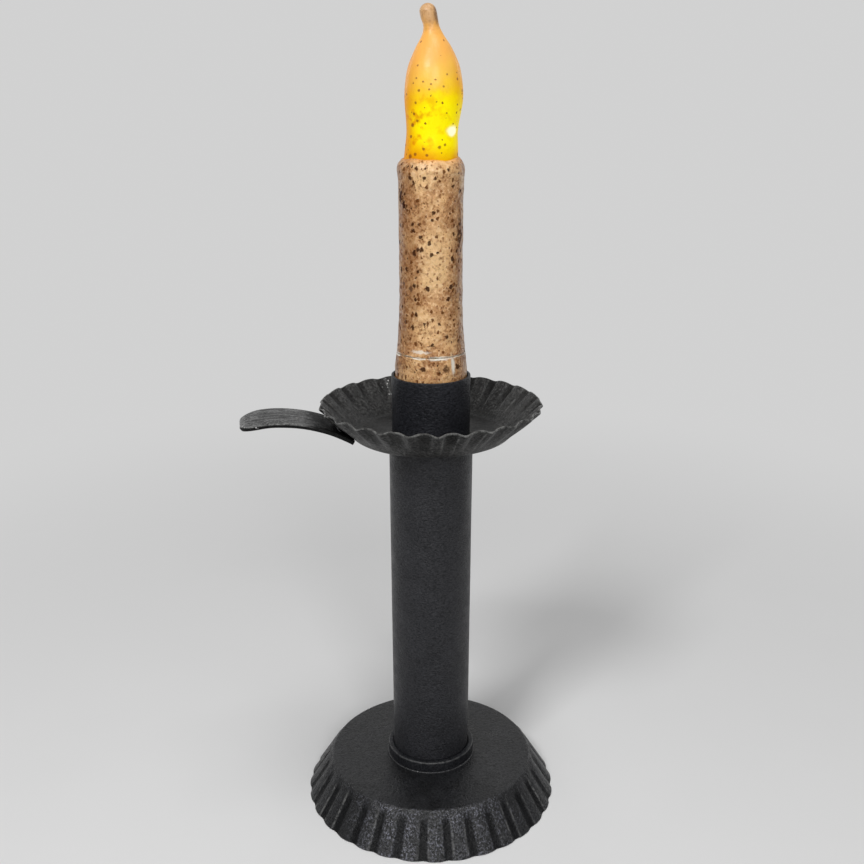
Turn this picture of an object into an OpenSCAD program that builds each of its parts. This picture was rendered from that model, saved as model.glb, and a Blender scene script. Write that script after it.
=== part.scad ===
// A painted tin candlestick with fluted pans and a finger strap, holding a battery taper.
// The stand's axis is Z, the table is z = 0 and the finger strap points along -X.
// The taper's upper sleeve pulls off its base along +Z to reach the two cells.

/* [Stand] */
// Height from the table to the socket's rim
stand_h = 150; // [145:1:165]
// Wall of the column tube
column_wall = 0.95; // [0.7:0.05:1.2]
// Wall of the socket tube
socket_wall = 0.8; // [0.6:0.05:1]
// Depth of the socket from its rim to the stop disc
socket_depth = 40.8; // [36:0.2:46]
// Thickness of the stop disc
stop_t = 1.2; // [0.8:0.1:1.6]
// Length of socket tube below the stop disc
stop_lip = 0.8; // [0.5:0.1:2]
// Radial gap of the nested tubes and soldered joints
solder_fit = 0.05; // [0.04:0.01:0.1]
// Wall of the collar round the column's foot
collar_wall = 1.9; // [1.4:0.1:2.5]
// Height of the collar
collar_h = 4; // [3:0.25:6]
// Rounding of the collar's top edge
collar_round = 0.5; // [0.3:0.1:0.8]
// Leg of the solder bead round the foot and under the drip pan
bead_leg = 0.8; // [0.5:0.1:1.2]

/* [Base pan] */
// Diameter of the rim on the table, at half the depth of its flutes
base_rim_d = 87.2; // [82:0.2:92]
// Diameter of the flat top
base_flat_d = 68; // [62:0.5:70]
// Height of the flat top
base_h = 14.2; // [12:0.2:18]
// Outer radius of the shoulder bend
base_bend = 1.25; // [1:0.25:4]
// Number of flutes
base_flutes = 32; // [24:1:38]
// Depth of a flute just below its arched top
base_flute = 0.95; // [0.5:0.05:1.2]
// Depth of a flute at the rim
base_flute_rim = 0.6; // [0.3:0.05:1]
// Turn of the pan about the column, in degrees
base_turn = 3.4; // [0:0.1:11]
// Thickness of the sheet that both pans are pressed from
sheet_t = 0.7; // [0.5:0.05:0.9]

/* [Drip pan] */
// Diameter of the rim, at half the depth of its flutes
pan_rim_d = 68; // [64:0.5:74]
// Width of the flat floor outside the column
pan_shelf = 9; // [7.5:0.25:10]
// Height of the rim above the underside
pan_h = 10; // [8:0.25:12]
// Outer radius of the bend between floor and wall
pan_bend = 4; // [3:0.25:5]
// Height of the socket's rim above the pan's underside
pan_below_rim = 19; // [16:0.5:24]
// Number of flutes
pan_flutes = 26; // [20:1:32]
// Depth of a flute at the rim
pan_flute = 1.1; // [0.8:0.1:2]

/* [Finger strap] */
// Width of the strap
strap_w = 17; // [12:0.5:18]
// Thickness of the strap
strap_t = 1.4; // [0.8:0.1:1.6]
// Reach of the strap's crest past the pan's rim
strap_crest = 14; // [10:0.5:18]
// Rise of the strap from the pan's bend to its crest
strap_rise = 6.6; // [5:0.2:8]
// Length of the thumb end past the crest
strap_tip = 10; // [8:0.5:14]
// Drop of the thumb end below the crest
strap_droop = 1.8; // [1:0.1:3]
// Corner radius of the thumb end
strap_corner = 6; // [3:0.5:6]
// Width of the weld that holds the strap
weld_w = 13; // [8:0.5:14]
// Height of the weld at its thick end
weld_h = 0.7; // [0.5:0.1:1]

/* [Taper base] */
// Diameter of the wax at the taper's foot
taper_d = 21.8; // [21.4:0.1:22.6]
// Radial gap between the taper's foot and the socket
taper_fit = 0.3; // [0.2:0.05:0.5]
// Height of the base from its underside to the seam
seam_h = 47.8; // [46:0.1:52]
// Thickness of the wax on the base
base_wax_t = 0.85; // [0.6:0.05:1]
// Thickness of the wax at its edge by the seam
base_wax_edge = 0.26; // [0.2:0.02:0.4]
// Length over which the wax thins towards the seam
base_wax_taper = 7; // [5:0.5:10]
// Bare plastic below the wax
bare_foot = 1; // [0.5:0.1:3]
// Wall of the plastic cup
cup_wall = 1; // [0.8:0.05:1.1]
// Thickness of the bottom cap
cap_t = 1.5; // [1:0.1:2]
// Height of the ledge that the cell tray stands on
ledge_t = 1.2; // [0.8:0.1:1.4]

/* [Switch and board] */
// Height of the switch between bottom cap and board
switch_h = 3.3; // [3:0.1:4]
// Length of the switch housing
switch_l = 9; // [8.8:0.1:10]
// Width of the switch housing
switch_w = 4; // [3.6:0.1:5]
// Length of the knob
knob_l = 1.8; // [1.4:0.1:2]
// Width of the knob
knob_w = 1.6; // [1.2:0.1:1.8]
// Travel of the knob from one position to the next
switch_step = 2; // [1.6:0.1:2.1]
// Thickness of the circuit board
board_t = 0.8; // [0.6:0.1:1]
// Distance of the board screws from the axis
screw_at = 6.4; // [6:0.1:6.4]
// Shank diameter of the board screws
screw_d = 1.4; // [1.2:0.1:1.6]
// Head diameter of the board screws
screw_head_d = 2.6; // [2.2:0.1:2.6]

/* [Cells and spring] */
// Diameter of a cell
cell_d = 10.5; // [9.5:0.1:10.5]
// Length of a cell over its cap
cell_l = 44.5; // [43.5:0.1:45]
// Diameter of the cell's cap
cap_nub_d = 3.8; // [3.2:0.1:4.2]
// Height of the cell's cap above its can
cap_nub_h = 1; // [0.8:0.1:1.4]
// Height of the spring with the cells in
spring_h = 3.2; // [3:0.1:4]
// Diameter of the spring's wire
wire_d = 0.5; // [0.4:0.05:0.5]
// Diameter of the spring's widest turn, at the wire's middle
spring_d = 7.6; // [7.2:0.1:7.8]
// Diameter of its narrowest turn
spring_top_d = 4.2; // [3.6:0.1:4.4]
// Number of turns
spring_turns = 2; // [1:0.5:2]

/* [Tray and lamp] */
// Radial gap between the cells and their tray
cell_fit = 0.2; // [0.1:0.05:0.3]
// Thickness of the tray's foot and of its end wall
tray_wall = 1; // [0.8:0.1:1.1]
// Width of the contact strip up the tray's back
strip_w = 2; // [1.6:0.1:3]
// Thickness of the contact strip
strip_t = 0.4; // [0.3:0.05:0.5]
// Thickness of the top contact
contact_t = 0.3; // [0.2:0.05:0.4]
// Side of the square top contact
contact_w = 6; // [5:0.5:7]
// Diameter of the lamp's lens
lamp_d = 5; // [4.6:0.1:5.2]
// Length of the lamp over its dome
lamp_l = 8.6; // [8:0.1:9]
// Diameter of the lamp's legs
leg_d = 0.5; // [0.4:0.05:0.6]

/* [Taper sleeve] */
// Outside diameter of the plastic sleeve
sleeve_d = 17; // [16.8:0.1:17.4]
// Wall of the sleeve
sleeve_wall = 1; // [0.8:0.05:1.1]
// Radial gap where the sleeve grips the base
sleeve_fit = 0.08; // [0.05:0.01:0.1]
// Depth of the sleeve in the base
sleeve_grip = 8; // [6:0.5:12]
// Radial gap between sleeve and cell tray
tray_fit = 0.3; // [0.2:0.05:0.4]
// Gap between the wax of the sleeve and that of the base
seam_gap = 0.3; // [0.2:0.05:0.5]
// Gap between wax and the plastic that carries it
film = 0.05; // [0.04:0.01:0.08]
// Thickness of the wax where the taper is slimmest
wax_t = 0.62; // [0.5:0.02:0.9]
// Thickness of the wax at the seam
wax_foot_t = 1.7; // [1:0.05:1.8]
// Thickness of the wax at the lip round the flame
wax_lip_t = 1.11; // [0.9:0.05:1.4]
// Height of the lip's rounded top
lip_h = 2.7; // [2.2:0.1:3]

/* [Flame bulb] */
// Height of the bulb from the sleeve to its tip
flame_h = 38.8; // [35:0.2:42]
// Diameter at the foot
flame_foot_d = 15.2; // [14.8:0.1:15.4]
// Diameter at the waist
flame_waist_d = 14.3; // [13:0.1:14.8]
// Diameter at the belly
flame_belly_d = 15.9; // [15:0.1:17]
// Diameter of the bent nub
flame_nub_d = 4.66; // [4:0.1:5]
// Height of the waist
waist_h = 8; // [6:0.2:9]
// Height of the belly
belly_h = 16.3; // [15:0.2:18]
// Height where the nub starts
nub_h = 32.4; // [31:0.2:33]
// Wall of the bulb
flame_wall = 1.2; // [0.8:0.1:1.6]
// Sideways lean of the belly
flame_lean = 0.8; // [0:0.1:1.2]
// Sideways bend of the nub
nub_bend = 0.8; // [0:0.1:2.5]
// Direction of the bend, in degrees from +X
nub_turn = 170; // [0:5:355]

/* [Hidden] */
$fn = 64;

// Radii and heights of the stand, worked outwards from the taper's foot
socket_bore_r = taper_d / 2 + taper_fit;
socket_r = socket_bore_r + socket_wall;
column_bore_r = socket_r + solder_fit;
column_r = column_bore_r + column_wall;
pan_z = stand_h - pan_below_rim;
seat_z = stand_h - socket_depth;
socket_foot_z = seat_z - stop_t - stop_lip;
collar_bore_r = column_r + solder_fit;
collar_r = collar_bore_r + collar_wall;

// Samples of a flute across, rows of a bend and rows of a wall
flute_samples = 6;
bend_rows = 3;
wall_rows = 4;
// A positive crest makes narrow ridges outside, a negative one broad ridges
base_crest = -0.2;
pan_crest = 0.2;
// Share of the wall over which the flutes grow to their full depth
base_flute_grow = 0.3;
pan_flute_grow = 0.95;

// Radii and heights of the taper's base
base_wax_r = taper_d / 2;
cup_r = base_wax_r - base_wax_t - film;
cup_bore_r = cup_r - cup_wall;
cap_top_z = seat_z + cap_t;
board_z = cap_top_z + switch_h;
board_top_z = board_z + board_t;
cell_z = board_top_z + spring_h;
ledge_gap = 0.8;
ledge_z = board_top_z + ledge_gap;
ledge_r = cup_bore_r - 1.1;
tray_z = ledge_z + ledge_t;
seam_z = seat_z + seam_h;
cap_fit = 0.03;
board_fit = 0.4;
board_r = cup_bore_r - board_fit;

// Parts on the board, each within the ledge
chip = [4.6, 3, 1.2];
chip_at = -5.6;
crystal_d = 1.5;
crystal_l = 4;
crystal_at = 6.2;
crystal_turn = 45;
resistor = [1.6, 0.8, 0.5];
resistor_at = 6.2;
resistor_turns = [120, 138];
screw_head_h = 0.8;
screw_l = 2.6;
screw_fit = 0.05;
boss_wall = 0.85;

// Switch: the knob's slab runs in the housing, and its end position is the lit one
slab_l = knob_l + 0.8;
slab_w = knob_w + 0.6;
slab_t = 1.2;
slab_lift = 0.5;
knob_recess = 0.4;
switch_fit = 0.1;
switch_travel = 2 * switch_step;
cavity_l = slab_l + switch_travel + 2 * switch_fit;
cavity_w = slab_w + 2 * switch_fit;
cavity_h = slab_lift + slab_t + 0.3;
slot_fit = 0.2;

// Radii and heights of the tray, the cells and the sleeve
cell_r = cell_d / 2;
tray_bore_r = cell_r + cell_fit;
sleeve_r = sleeve_d / 2;
sleeve_bore_r = sleeve_r - sleeve_wall;
tray_r = sleeve_bore_r - tray_fit;
neck_r = sleeve_r + sleeve_fit;
foot_r = neck_r - 0.13;
spring_hole_r = spring_d / 2 + wire_d / 2 + 0.45;
cells_top_z = cell_z + 2 * cell_l;
end_wall_z = cells_top_z + contact_t;
tray_top_z = end_wall_z + tray_wall;
strip_r = tray_r - 0.6;
strip_slot_fit = 0.1;
leg_at = 1.27;
leg_groove = leg_d + 0.2;
label_t = 0.12;
label_back = 0.4;
crimp_h = 2;
crimp_in = 0.35;
disc_r = cell_r - 1.4;
disc_t = 0.3;
lamp_flange = 0.4;
lamp_flange_t = 1;

// Radii and heights of the sleeve's head, the wax and the bulb
head_gap = 0.9;
head_t = 1;
sleeve_top_z = tray_top_z + head_gap + head_t;
sleeve_foot_z = seam_z - sleeve_grip + seam_gap;
neck_z = sleeve_foot_z - seam_gap;
lamp_hole_r = lamp_d / 2 + lamp_flange + 0.7;
wax_in_r = sleeve_r + film;
wax_foot_z = seam_z + seam_gap;
lip_z = sleeve_top_z - 1.8;
wax_rows = 16;
lip_rows = 6;
flame_foot_r = flame_foot_d / 2;
flame_nub_r = flame_nub_d / 2;
flame_sides = 28;
cavity_top = nub_h - 1.5;

// Blends used by several outlines
function ease(x) = x * x * (3 - 2 * x);
function mix(a, b, t) = a + (b - a) * t;
function steps(a, b, n) = [for (i = [0:n - 1]) mix(a, b, i / n)];

// A closed skin over rings of points, with a centre point over each end
function ring_centre(ring) = [for (p = ring) 1] * ring / len(ring);
function loft_points(rings) = concat(
    [for (ring = rings) each ring],
    [ring_centre(rings[0]), ring_centre(rings[len(rings) - 1])]
);
function loft_faces(m, n) = concat(
    [
        for (i = [0:m - 2], j = [0:n - 1])
            let (a = i * n + j, b = i * n + (j + 1) % n)
                each [[a, b + n, b], [a, a + n, b + n]]
    ],
    [for (j = [0:n - 1]) [m * n, j, (j + 1) % n]],
    [for (j = [0:n - 1]) [m * n + 1, (m - 1) * n + (j + 1) % n, (m - 1) * n + j]]
);
module loft(rings) {
    polyhedron(loft_points(rings), loft_faces(len(rings), len(rings[0])), convexity = 8);
}

// Lean from the vertical of a wall that leaves a bend of radius r as a tangent
function wall_lean(run, rise, r) = acos(r / norm([run, rise])) - atan2(rise, run);

// Outer line of a dish: [radius, height, share of the wall], from the floor's edge to the rim
function dish_line(floor_r, rim_r, h, bend, out = 0) =
    let (
        lean = wall_lean(rim_r - floor_r, h - bend, bend),
        foot = [floor_r + bend * cos(lean), bend - bend * sin(lean)]
    )
    concat(
        [
            for (a = steps(-90, -lean, bend_rows))
                [floor_r + (bend + out) * cos(a), bend + (bend + out) * sin(a), 0]
        ],
        [
            for (i = [0:wall_rows])
                let (s = i / wall_rows)
                    [
                        mix(foot[0], rim_r, s) + out * cos(lean),
                        mix(foot[1], h, s) - out * sin(lean),
                        s
                    ]
        ]
    );

// Half the depth of a flute at share s of the wall
function flute_half(s, grow, full, rim) =
    s < grow ? full / 2 * ease(s / grow) : mix(full, rim, (s - grow) / (1 - grow)) / 2;

// A pressed dish, open upwards, fluted all round; its rim is either cut level or square to the sheet
module fluted_dish(floor_r, rim_r, h, bend, flutes, full, rim, grow, crest, level) {
    lean = wall_lean(rim_r - floor_r, h - bend, bend);
    n = flutes * flute_samples;
    outer = dish_line(floor_r, rim_r, h, bend);
    inner = dish_line(floor_r, rim_r, h, bend, -sheet_t);
    rim_in = [rim_r - sheet_t / cos(lean), h, 1];
    line = concat(
        outer,
        [level ? rim_in : inner[len(inner) - 1]],
        [for (i = [len(inner) - 2:-1:0]) inner[i]]
    );
    loft([
        for (p = line)
            let (
                half = flute_half(p[2], grow, full, rim),
                push = [half * (level ? 1 : cos(lean)), half * (level ? 0 : -sin(lean))]
            )
            [
                for (j = [0:n - 1])
                    let (
                        a = 360 * j / n,
                        w = cos(flutes * a) + crest * cos(2 * flutes * a),
                        r = p[0] + w * push[0]
                    )
                    [r * cos(a), r * sin(a), p[1] + w * push[1]]
            ]
    ]);
}

// A plain tube on the axis
module tube(r, bore_r, z, h) {
    translate([0, 0, z])
        difference() {
            cylinder(r = r, h = h);
            translate([0, 0, -1])
                cylinder(r = bore_r, h = h + 2);
        }
}

module base_pan() {
    color("#2e2f33")
        translate([0, 0, base_h])
            mirror([0, 0, 1])
                rotate([0, 0, base_turn])
                    fluted_dish(
                        base_flat_d / 2, base_rim_d / 2, base_h, base_bend, base_flutes,
                        base_flute, base_flute_rim, base_flute_grow, base_crest, true
                    );
}

module column_tube() {
    color("#26272b")
        tube(column_r, column_bore_r, base_h, pan_z - base_h);
}

module foot_collar() {
    color("#26272b")
        translate([0, 0, base_h])
            rotate_extrude()
                polygon(concat(
                    [[collar_bore_r, 0], [collar_r, 0]],
                    [
                        for (a = [0:30:90])
                            [collar_r, collar_h] + collar_round * [cos(a) - 1, sin(a) - 1]
                    ],
                    [[collar_bore_r, collar_h]]
                ));
}

// A ring of solder with a hollow face, in the corner between a tube and a sheet
module solder_ring(r, z, up) {
    hollow = bead_leg * 0.3;
    s = up ? 1 : -1;
    translate([0, 0, z])
        rotate_extrude()
            polygon([
                [r, 0],
                [r + bead_leg, 0],
                [r + hollow, s * hollow],
                [r, s * bead_leg]
            ]);
}

module foot_solder() {
    color("#34353a")
        solder_ring(collar_r, base_h, true);
}

module drip_pan() {
    floor_r = column_r + pan_shelf;
    color("#37373a")
        difference() {
            translate([0, 0, pan_z])
                fluted_dish(
                    floor_r, pan_rim_d / 2, pan_h, pan_bend, pan_flutes,
                    pan_flute, pan_flute, pan_flute_grow, pan_crest, false
                );
            translate([0, 0, pan_z - 1])
                cylinder(r = socket_r + solder_fit, h = sheet_t + 2);
        }
}

module pan_solder() {
    color("#34353a")
        solder_ring(column_r, pan_z, false);
}

module socket_tube() {
    color("#222327")
        tube(socket_r, socket_bore_r, socket_foot_z, stand_h - socket_foot_z);
}

module socket_stop() {
    color("#222327")
        translate([0, 0, seat_z - stop_t])
            cylinder(r = socket_bore_r - solder_fit, h = stop_t);
}

// Outline of the room that the drip pan takes up, with its flutes, above its underside
function pan_room_line() =
    let (
        floor_r = column_r + pan_shelf,
        lean = wall_lean(pan_rim_d / 2 - floor_r, pan_h - pan_bend, pan_bend),
        ridge = 1 + pan_crest
    )
    [
        for (p = dish_line(floor_r, pan_rim_d / 2, pan_h, pan_bend))
            let (
                half = flute_half(p[2], pan_flute_grow, pan_flute, pan_flute),
                out = solder_fit + ridge * half
            )
                [p[0] + out * cos(lean), p[1] - out * sin(lean)]
    ];

module pan_room() {
    floor_r = column_r + pan_shelf;
    line = pan_room_line();
    translate([0, 0, pan_z])
        rotate_extrude($fn = 240)
            polygon(concat(
                [[0, pan_h], [0, -solder_fit], [floor_r, -solder_fit]],
                [for (i = [1:len(line) - 1]) line[i]],
                [[pan_rim_d / 2 + pan_flute, pan_h]]
            ));
}

// Side outline of the strap: two arcs that meet level at the crest
strap_foot_x = column_r + pan_shelf + pan_bend * 0.7;
strap_crest_x = pan_rim_d / 2 + strap_crest;
strap_foot_h = 1.1;
strap_crest_z = pan_z + strap_foot_h + strap_rise;
strap_run = strap_crest_x - strap_foot_x;
strap_bend_r = (strap_run * strap_run + strap_rise * strap_rise) / (2 * strap_rise);
strap_tip_r = (strap_tip * strap_tip + strap_droop * strap_droop) / (2 * strap_droop);
strap_rows = 8;
strap_start = -2 * atan(strap_rise / strap_run);
weld_face = [-0.85, 1.3];
function strap_rise_at(a, off) = [
    strap_crest_x + (strap_bend_r + off) * sin(a),
    strap_crest_z - strap_bend_r + (strap_bend_r + off) * cos(a)
];
function strap_side(off) = concat(
    [for (a = steps(strap_start, 0, strap_rows)) strap_rise_at(a, off)],
    [
        for (i = [0:strap_rows])
            let (a = 2 * atan(strap_droop / strap_tip) * i / strap_rows)
                [
                    strap_crest_x + (strap_tip_r + off) * sin(a),
                    strap_crest_z - strap_tip_r + (strap_tip_r + off) * cos(a)
                ]
    ]
);
function reversed(list) = [for (i = [len(list) - 1:-1:0]) list[i]];

module strap_plan() {
    end_x = strap_crest_x + strap_tip;
    translate([0, -strap_w / 2])
        square([end_x - strap_corner, strap_w]);
    translate([0, -strap_w / 2 + strap_corner])
        square([end_x, strap_w - 2 * strap_corner]);
    for (s = [-1, 1])
        translate([end_x - strap_corner, s * (strap_w / 2 - strap_corner)])
            circle(r = strap_corner);
}

module finger_strap() {
    color("#3a3a3c")
        rotate([0, 0, 180])
            difference() {
                intersection() {
                    translate([0, strap_w / 2 + 1, 0])
                        rotate([90, 0, 0])
                            linear_extrude(strap_w + 2)
                                polygon(concat(
                                    strap_side(strap_t / 2),
                                    reversed(strap_side(-strap_t / 2))
                                ));
                    translate([0, 0, pan_z - 5])
                        linear_extrude(30)
                            strap_plan();
                }
                pan_room();
            }
}

// Point of the strap's upper face where the pan's wall is this gap above it
function weld_point(gap, low = strap_start, high = 0, tries = 24) =
    let (
        a = (low + high) / 2,
        p = strap_rise_at(a, strap_t / 2 + solder_fit)
    )
    tries == 0 ? p
    : pan_z + lookup(p[0], pan_room_line()) - p[1] < gap ? weld_point(gap, a, high, tries - 1)
    : weld_point(gap, low, a, tries - 1);

// Weld in the wedge between the strap's upper face and the pan's wall
module strap_weld() {
    thin = weld_point(0);
    thick = weld_point(weld_h);
    color("#34353a")
        rotate([0, 0, 180])
            difference() {
                translate([0, weld_w / 2, 0])
                    rotate([90, 0, 0])
                        linear_extrude(weld_w)
                            polygon([thin, thick, thick + weld_h * weld_face, thin + [0, pan_h / 3]]);
                pan_room();
            }
}

module battery_base() {
    color("#d8cdb8")
        translate([0, 0, seat_z])
            difference() {
                cylinder(r = cup_r, h = seam_h);
                translate([0, 0, -1])
                    cylinder(r = cup_bore_r, h = ledge_z - seat_z + 1);
                translate([0, 0, ledge_z - seat_z - 1])
                    cylinder(r = ledge_r, h = ledge_t + 2);
                translate([0, 0, tray_z - seat_z])
                    cylinder(r = cup_bore_r, h = neck_z - tray_z);
                translate([0, 0, neck_z - seat_z - 1])
                    cylinder(r = neck_r, h = seam_h);
            }
}

module base_wax() {
    in_r = cup_r + film;
    color("#b08a5c")
        rotate_extrude()
            polygon([
                [in_r, seat_z + bare_foot],
                [base_wax_r, seat_z + bare_foot],
                [base_wax_r, seam_z - base_wax_taper],
                [mix(in_r + base_wax_edge, base_wax_r, 0.75), seam_z - base_wax_taper * 0.55],
                [in_r + base_wax_edge, seam_z],
                [in_r, seam_z]
            ]);
}

module bottom_cap() {
    slot_l = knob_l + switch_travel + 2 * slot_fit;
    slot_w = knob_w + 2 * slot_fit;
    boss_r = screw_d / 2 + boss_wall;
    color("#d8cdb8")
        difference() {
            union() {
                translate([0, 0, seat_z])
                    cylinder(r = cup_bore_r - cap_fit, h = cap_t);
                for (s = [-1, 1])
                    translate([s * screw_at, 0, cap_top_z - 0.5])
                        cylinder(r = boss_r, h = switch_h + 0.5);
            }
            translate([-slot_w / 2, -slot_l / 2, seat_z - 1])
                cube([slot_w, slot_l, cap_t + 2]);
            for (s = [-1, 1])
                translate([s * screw_at, 0, cap_top_z])
                    cylinder(r = screw_d / 2 + screw_fit, h = switch_h + 1);
        }
}

module switch_housing() {
    color("#8d9096")
        difference() {
            translate([-switch_w / 2, -switch_l / 2, cap_top_z])
                cube([switch_w, switch_l, switch_h]);
            translate([-cavity_w / 2, -cavity_l / 2, cap_top_z - 1])
                cube([cavity_w, cavity_l, cavity_h + 1]);
        }
}

module switch_knob() {
    color("#1c1c1e")
        translate([0, switch_step, 0]) {
            translate([-slab_w / 2, -slab_l / 2, cap_top_z + slab_lift])
                cube([slab_w, slab_l, slab_t]);
            translate([-knob_w / 2, -knob_l / 2, seat_z + knob_recess])
                cube([knob_w, knob_l, cap_t + slab_lift - knob_recess + 0.2]);
        }
}

module circuit_board() {
    color("#2f6b3c")
        difference() {
            translate([0, 0, board_z])
                cylinder(r = board_r, h = board_t);
            for (s = [-1, 1])
                translate([s * screw_at, 0, board_z - 1])
                    cylinder(r = screw_d / 2 + screw_fit, h = board_t + 2);
        }
}

module timer_chip() {
    color("#1b1b1d")
        translate([-chip[0] / 2, chip_at - chip[1] / 2, board_top_z])
            cube(chip);
}

module crystal() {
    color("#b9bcc0")
        rotate([0, 0, crystal_turn])
            translate([crystal_at, crystal_l / 2, board_top_z + crystal_d / 2])
                rotate([90, 0, 0])
                    cylinder(r = crystal_d / 2, h = crystal_l);
}

module resistors() {
    color("#2b2b30")
        for (a = resistor_turns)
            rotate([0, 0, a])
                translate([resistor_at - resistor[0] / 2, -resistor[1] / 2, board_top_z])
                    cube(resistor);
}

module board_screws() {
    color("#a9abae")
        for (s = [-1, 1])
            translate([s * screw_at, 0, board_top_z]) {
                difference() {
                    cylinder(r = screw_head_d / 2, h = screw_head_h);
                    translate([-0.2, -screw_head_d, screw_head_h / 2])
                        cube([0.4, 2 * screw_head_d, screw_head_h]);
                }
                translate([0, 0, -screw_l])
                    cylinder(r = screw_d / 2, h = screw_l + screw_head_h / 4);
            }
}

// Conical spring: one wire, with short straight ends square to the board and to the cell
coil_rings = 8;
wire_sides = 6;
bend_steps = 3;
coil_z0 = board_top_z + wire_d + wire_d;
coil_z1 = cell_z - wire_d - wire_d;
coil_steps = spring_turns * coil_rings;
function coil_point(i) =
    let (t = i / coil_steps, r = mix(spring_d, spring_top_d, t) / 2, a = 360 * spring_turns * t)
        [r * cos(a), r * sin(a), mix(coil_z0, coil_z1, t)];
// Each station is [place, heading above the level, turn about the axis]
function spring_stations() =
    let (
        first = coil_point(0),
        last = coil_point(coil_steps),
        end_turn = 360 * spring_turns,
        back0 = [sin(0), -cos(0), 0],
        ahead1 = [-sin(end_turn), cos(end_turn), 0]
    )
    concat(
        [
            [first + wire_d * back0 - [0, 0, 2 * wire_d], 90, 0],
            [first + wire_d * back0 - [0, 0, wire_d], 90, 0]
        ],
        [
            for (k = [1:bend_steps - 1])
                let (b = 90 * k / bend_steps)
                    [first + wire_d * back0 * cos(b) - [0, 0, wire_d * (1 - sin(b))], 90 - b, 0]
        ],
        [for (i = [0:coil_steps]) [coil_point(i), 0, 360 * spring_turns * i / coil_steps]],
        [
            for (k = [1:bend_steps - 1])
                let (b = 90 * k / bend_steps)
                    [last + wire_d * ahead1 * sin(b) + [0, 0, wire_d * (1 - cos(b))], b, end_turn]
        ],
        [
            [last + wire_d * ahead1 + [0, 0, wire_d], 90, end_turn],
            [last + wire_d * ahead1 + [0, 0, 2 * wire_d], 90, end_turn]
        ]
    );
function wire_ring(s) =
    let (
        u = [cos(s[2]), sin(s[2]), 0],
        level = [-sin(s[2]), cos(s[2]), 0],
        head = cos(s[1]) * level + [0, 0, sin(s[1])],
        v = cross(head, u)
    )
    [
        for (j = [0:wire_sides - 1])
            s[0] + wire_d / 2 * (cos(360 * j / wire_sides) * u + sin(360 * j / wire_sides) * v)
    ];
// Least gap between turns, measured between points half a turn or more apart
spring_gap = min([
    for (i = [0:coil_steps], j = [0:coil_steps])
        if (j - i >= coil_rings / 2) norm(coil_point(i) - coil_point(j)) - wire_d
]);

module base_spring() {
    echo(str("least gap between the spring's turns: ", spring_gap, " mm"));
    color("#c3c5c8")
        loft([for (s = spring_stations()) wire_ring(s)]);
}

module cell_tray() {
    color("#cfc6b4")
        difference() {
            union() {
                intersection() {
                    tube(tray_r, tray_bore_r, tray_z, tray_top_z - tray_z);
                    translate([-tray_r - 1, 0, tray_z - 1])
                        cube([2 * tray_r + 2, tray_r + 1, tray_top_z - tray_z + 2]);
                }
                tube(foot_r, spring_hole_r, tray_z, tray_wall);
                translate([0, 0, end_wall_z])
                    cylinder(r = tray_r, h = tray_wall);
            }
            translate([-strip_w / 2 - strip_slot_fit, strip_r - strip_t - strip_slot_fit, tray_z - 1])
                cube([
                    strip_w + 2 * strip_slot_fit,
                    strip_t + 2 * strip_slot_fit,
                    tray_top_z - tray_z + 2
                ]);
            translate([leg_at, 0, end_wall_z - 1])
                cylinder(r = leg_groove / 2, h = tray_wall + 2);
            translate([-leg_at - leg_groove / 2, -leg_groove / 2, tray_top_z - leg_groove])
                cube([leg_groove, strip_r + leg_groove / 2, leg_groove + 1]);
        }
}

// One cell: a steel can with a crimped shoulder, a printed sleeve and a cap disc
module cell_can(z) {
    can_r = cell_r - label_t;
    can_h = cell_l - cap_nub_h;
    color("#b4b6ba")
        translate([0, 0, z])
            rotate_extrude()
                polygon([
                    [0, 0],
                    [can_r - 0.4, 0],
                    [can_r, 0.4],
                    [can_r, can_h - crimp_h],
                    [can_r - crimp_in, can_h - crimp_h + crimp_in],
                    [can_r - crimp_in, can_h - crimp_in],
                    [can_r - 2 * crimp_in, can_h - disc_t],
                    [0, can_h - disc_t]
                ]);
}

module cell_label(z) {
    color("#4d6f8f")
        translate([0, 0, z])
            tube(cell_r, cell_r - label_t + 0.02, label_back, cell_l - cap_nub_h - crimp_h - label_back);
}

module cell_cap(z) {
    top = cell_l - cap_nub_h;
    color("#c9cbcf")
        translate([0, 0, z])
            rotate_extrude()
                polygon([
                    [0, top - disc_t],
                    [disc_r, top - disc_t],
                    [disc_r, top],
                    [cap_nub_d / 2, top],
                    [cap_nub_d / 2, top + cap_nub_h - 0.3],
                    [cap_nub_d / 2 - 0.3, top + cap_nub_h],
                    [0, top + cap_nub_h]
                ]);
}

module lower_cell_can() cell_can(cell_z);
module lower_cell_sleeve() cell_label(cell_z);
module lower_cell_cap() cell_cap(cell_z);
module upper_cell_can() cell_can(cell_z + cell_l);
module upper_cell_sleeve() cell_label(cell_z + cell_l);
module upper_cell_cap() cell_cap(cell_z + cell_l);

module contact_strip() {
    color("#b08d4a")
        translate([-strip_w / 2, strip_r - strip_t, board_top_z])
            cube([strip_w, strip_t, tray_top_z - board_top_z]);
}

module top_contact() {
    color("#c3c5c8")
        translate([-contact_w / 2, -contact_w / 2, cells_top_z])
            cube([contact_w, contact_w, contact_t]);
}

// One leg drops to the top contact, the other bends and runs back to the strip
module lamp_legs() {
    leg_bend = leg_groove / 2;
    color("#c9cbcf") {
        translate([leg_at, 0, end_wall_z])
            cylinder(r = leg_d / 2, h = tray_wall);
        translate([-leg_at, leg_bend, tray_top_z]) {
            rotate([-90, 0, -90])
                rotate_extrude(angle = 90)
                    translate([leg_bend, 0])
                        circle(r = leg_d / 2);
            translate([0, 0, -leg_bend])
                rotate([-90, 0, 0])
                    cylinder(r = leg_d / 2, h = strip_r - strip_t - leg_bend);
        }
    }
}

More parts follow.
